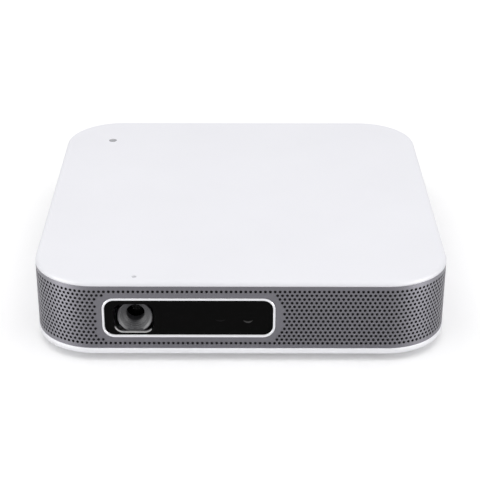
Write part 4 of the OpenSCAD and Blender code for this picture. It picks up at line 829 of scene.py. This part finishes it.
power_low, power_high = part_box("power_board")
parts_from, coils_before, top_skin = power_low.z + 1.7 * MM, -20 * MM, 0.05 * MM
power_circuit = circuit("power_circuit")
coils = power_circuit.inside(Z=(parts_from, above), Y=(below, coils_before))
power_circuit.patch(coils, srgb(92, 60, 44), 0.4, 0.4)
capacitors = power_circuit.inside(Z=(parts_from, above), Y=(coils_before, above))
power_circuit.patch(capacitors, srgb(32, 42, 74), 0.35)
tops = power_circuit.inside(Z=(power_high.z - top_skin, above))
power_circuit.patch(tops, can_alloy, 0.3, 0.9)
refined("power_board", power_circuit)
refined("signal_boards", circuit("signal_circuit"))

sensor_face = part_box("sensor_board")[1].y - 1.05 * MM
sensor_circuit = circuit("sensor_circuit", ("X", "Z"))
sensor_circuit.patch(sensor_circuit.inside(Y=(below, sensor_face)), black_resin, 0.4)
refined("sensor_board", sensor_circuit)
chip_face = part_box("dmd_board")[1].y - 1.25 * MM
chip_circuit = circuit("chip_circuit", ("X", "Z"))
chip_circuit.patch(chip_circuit.inside(Y=(below, chip_face)), srgb(170, 172, 178), 0.12, 1.0)
refined("dmd_board", chip_circuit)


# ---- Speakers ----
# A sealed black box behind each side wall holds a small driver. Its pressed paper cone carries
# the voice coil, which moves in the magnet's groove.

speaker_plastic = moulded("speaker_plastic", srgb(26, 26, 28), 0.55)
cone_paper = moulded("cone_paper", srgb(72, 72, 75), 0.7, grain=0.4 * MM, depth=0.02 * MM)
for side in ("left", "right"):
    refined(side + "_speaker_box", speaker_plastic)
    refined(side + "_speaker_cone", cone_paper, side + "_speaker_cone")


# ---- Floor, light and camera ----
# A white floor that glows more the further it lies from the object, a plain bright world, a broad
# soft light above, and a strip at each side that only reflections see. The camera stands at the
# photograph's place.

def seen_directly(graph):
    """1 for what the camera sees, also by way of gloss and glass, and 0 for what lights matt faces."""
    path = graph.tree.nodes.new("ShaderNodeLightPath")
    seen = Wire(graph, path.outputs["Is Camera Ray"])
    for kind in ("Is Glossy Ray", "Is Transmission Ray"):
        seen = seen.math("MAXIMUM", Wire(graph, path.outputs[kind]))
    return seen


floor_reach = 6.0
floor = bpy.data.objects.new("floor", bpy.data.meshes.new("floor"))
bpy.context.scene.collection.objects.link(floor)
floor_shape = bmesh.new()
bmesh.ops.create_grid(floor_shape, x_segments=1, y_segments=1, size=floor_reach)
floor_shape.to_mesh(floor.data)
floor_shape.free()
black, white = (0, 0, 0, 1), (1, 1, 1, 1)
floor_finish = Finish("floor", grey(249), 0.9, Specular_IOR_Level=0.0, Emission_Strength=0.42)
# The glow is least within this distance in metres and grows by so much a metre beyond it
least_glow, glow_from, glow_growth = 0.31, 0.14, 1.6
from_middle = floor_finish.node(
    "ShaderNodeVectorMath", {"operation": "LENGTH"}, [floor_finish.place()], "Value",
)
glow = (from_middle - glow_from) * glow_growth + least_glow
glow = glow.math("MAXIMUM", least_glow).math("MINIMUM", 1)
seen_glow = seen_directly(floor_finish) * glow
floor_finish.set("Emission Color", floor_finish.blend(seen_glow, black, white))
floor.data.materials.append(floor_finish.material)

world = bpy.data.worlds.new("studio")
bpy.context.scene.world = world
world.use_nodes = True
sky = Graph(world.node_tree)
background = world.node_tree.nodes["Background"]
sky.put(background.inputs["Color"], white)
# The world's light on matt faces. What is seen of it directly is white
sky_light = 0.6
sky.put(background.inputs["Strength"], seen_directly(sky) * (1 - sky_light) + sky_light)


def soft_light(name, place, target, size, power):
    """A rectangular soft light that points at a target."""
    data = bpy.data.lights.new(name, "AREA")
    data.shape = "RECTANGLE"
    data.size, data.size_y = size
    data.energy = power
    light = bpy.data.objects.new(name, data)
    light.location = place
    light.rotation_euler = (Vector(target) - Vector(place)).to_track_quat("-Z", "Y").to_euler()
    bpy.context.scene.collection.objects.link(light)
    return light


soft_light("overhead", (0, -0.2, 1.05), (0, 0, 0.02), size=(1.3, 1.1), power=6.3)
for side in (-1, 1):
    strip = soft_light(
        "side_strip", (side * 0.62, -0.4, 0.16), (side * 0.08, -0.08, 0.02), size=(0.14, 0.3), power=33,
    )
    strip.visible_diffuse = False

camera_data = bpy.data.cameras.new("camera")
camera_data.lens, camera_data.sensor_width = 102.4, 36
camera = bpy.data.objects.new("camera", camera_data)
bpy.context.scene.collection.objects.link(camera)
bpy.context.scene.camera = camera
# The place in metres, and three turns in radians: to the side, down from level, and about the axis
camera_x, camera_y, camera_rise = -0.9 * MM, -653.84 * MM, 304.28 * MM
aside, down, tilt = -0.0008, 0.4674, 0.0017
camera.matrix_world = (
    Matrix.Translation((camera_x, camera_y, band_high.z + camera_rise))
    @ Matrix.Rotation(aside, 4, "Z")
    @ Matrix.Rotation(math.radians(90) - down, 4, "X")
    @ Matrix.Rotation(tilt, 4, "Z")
)
bpy.context.scene.view_settings.view_transform = "Standard"
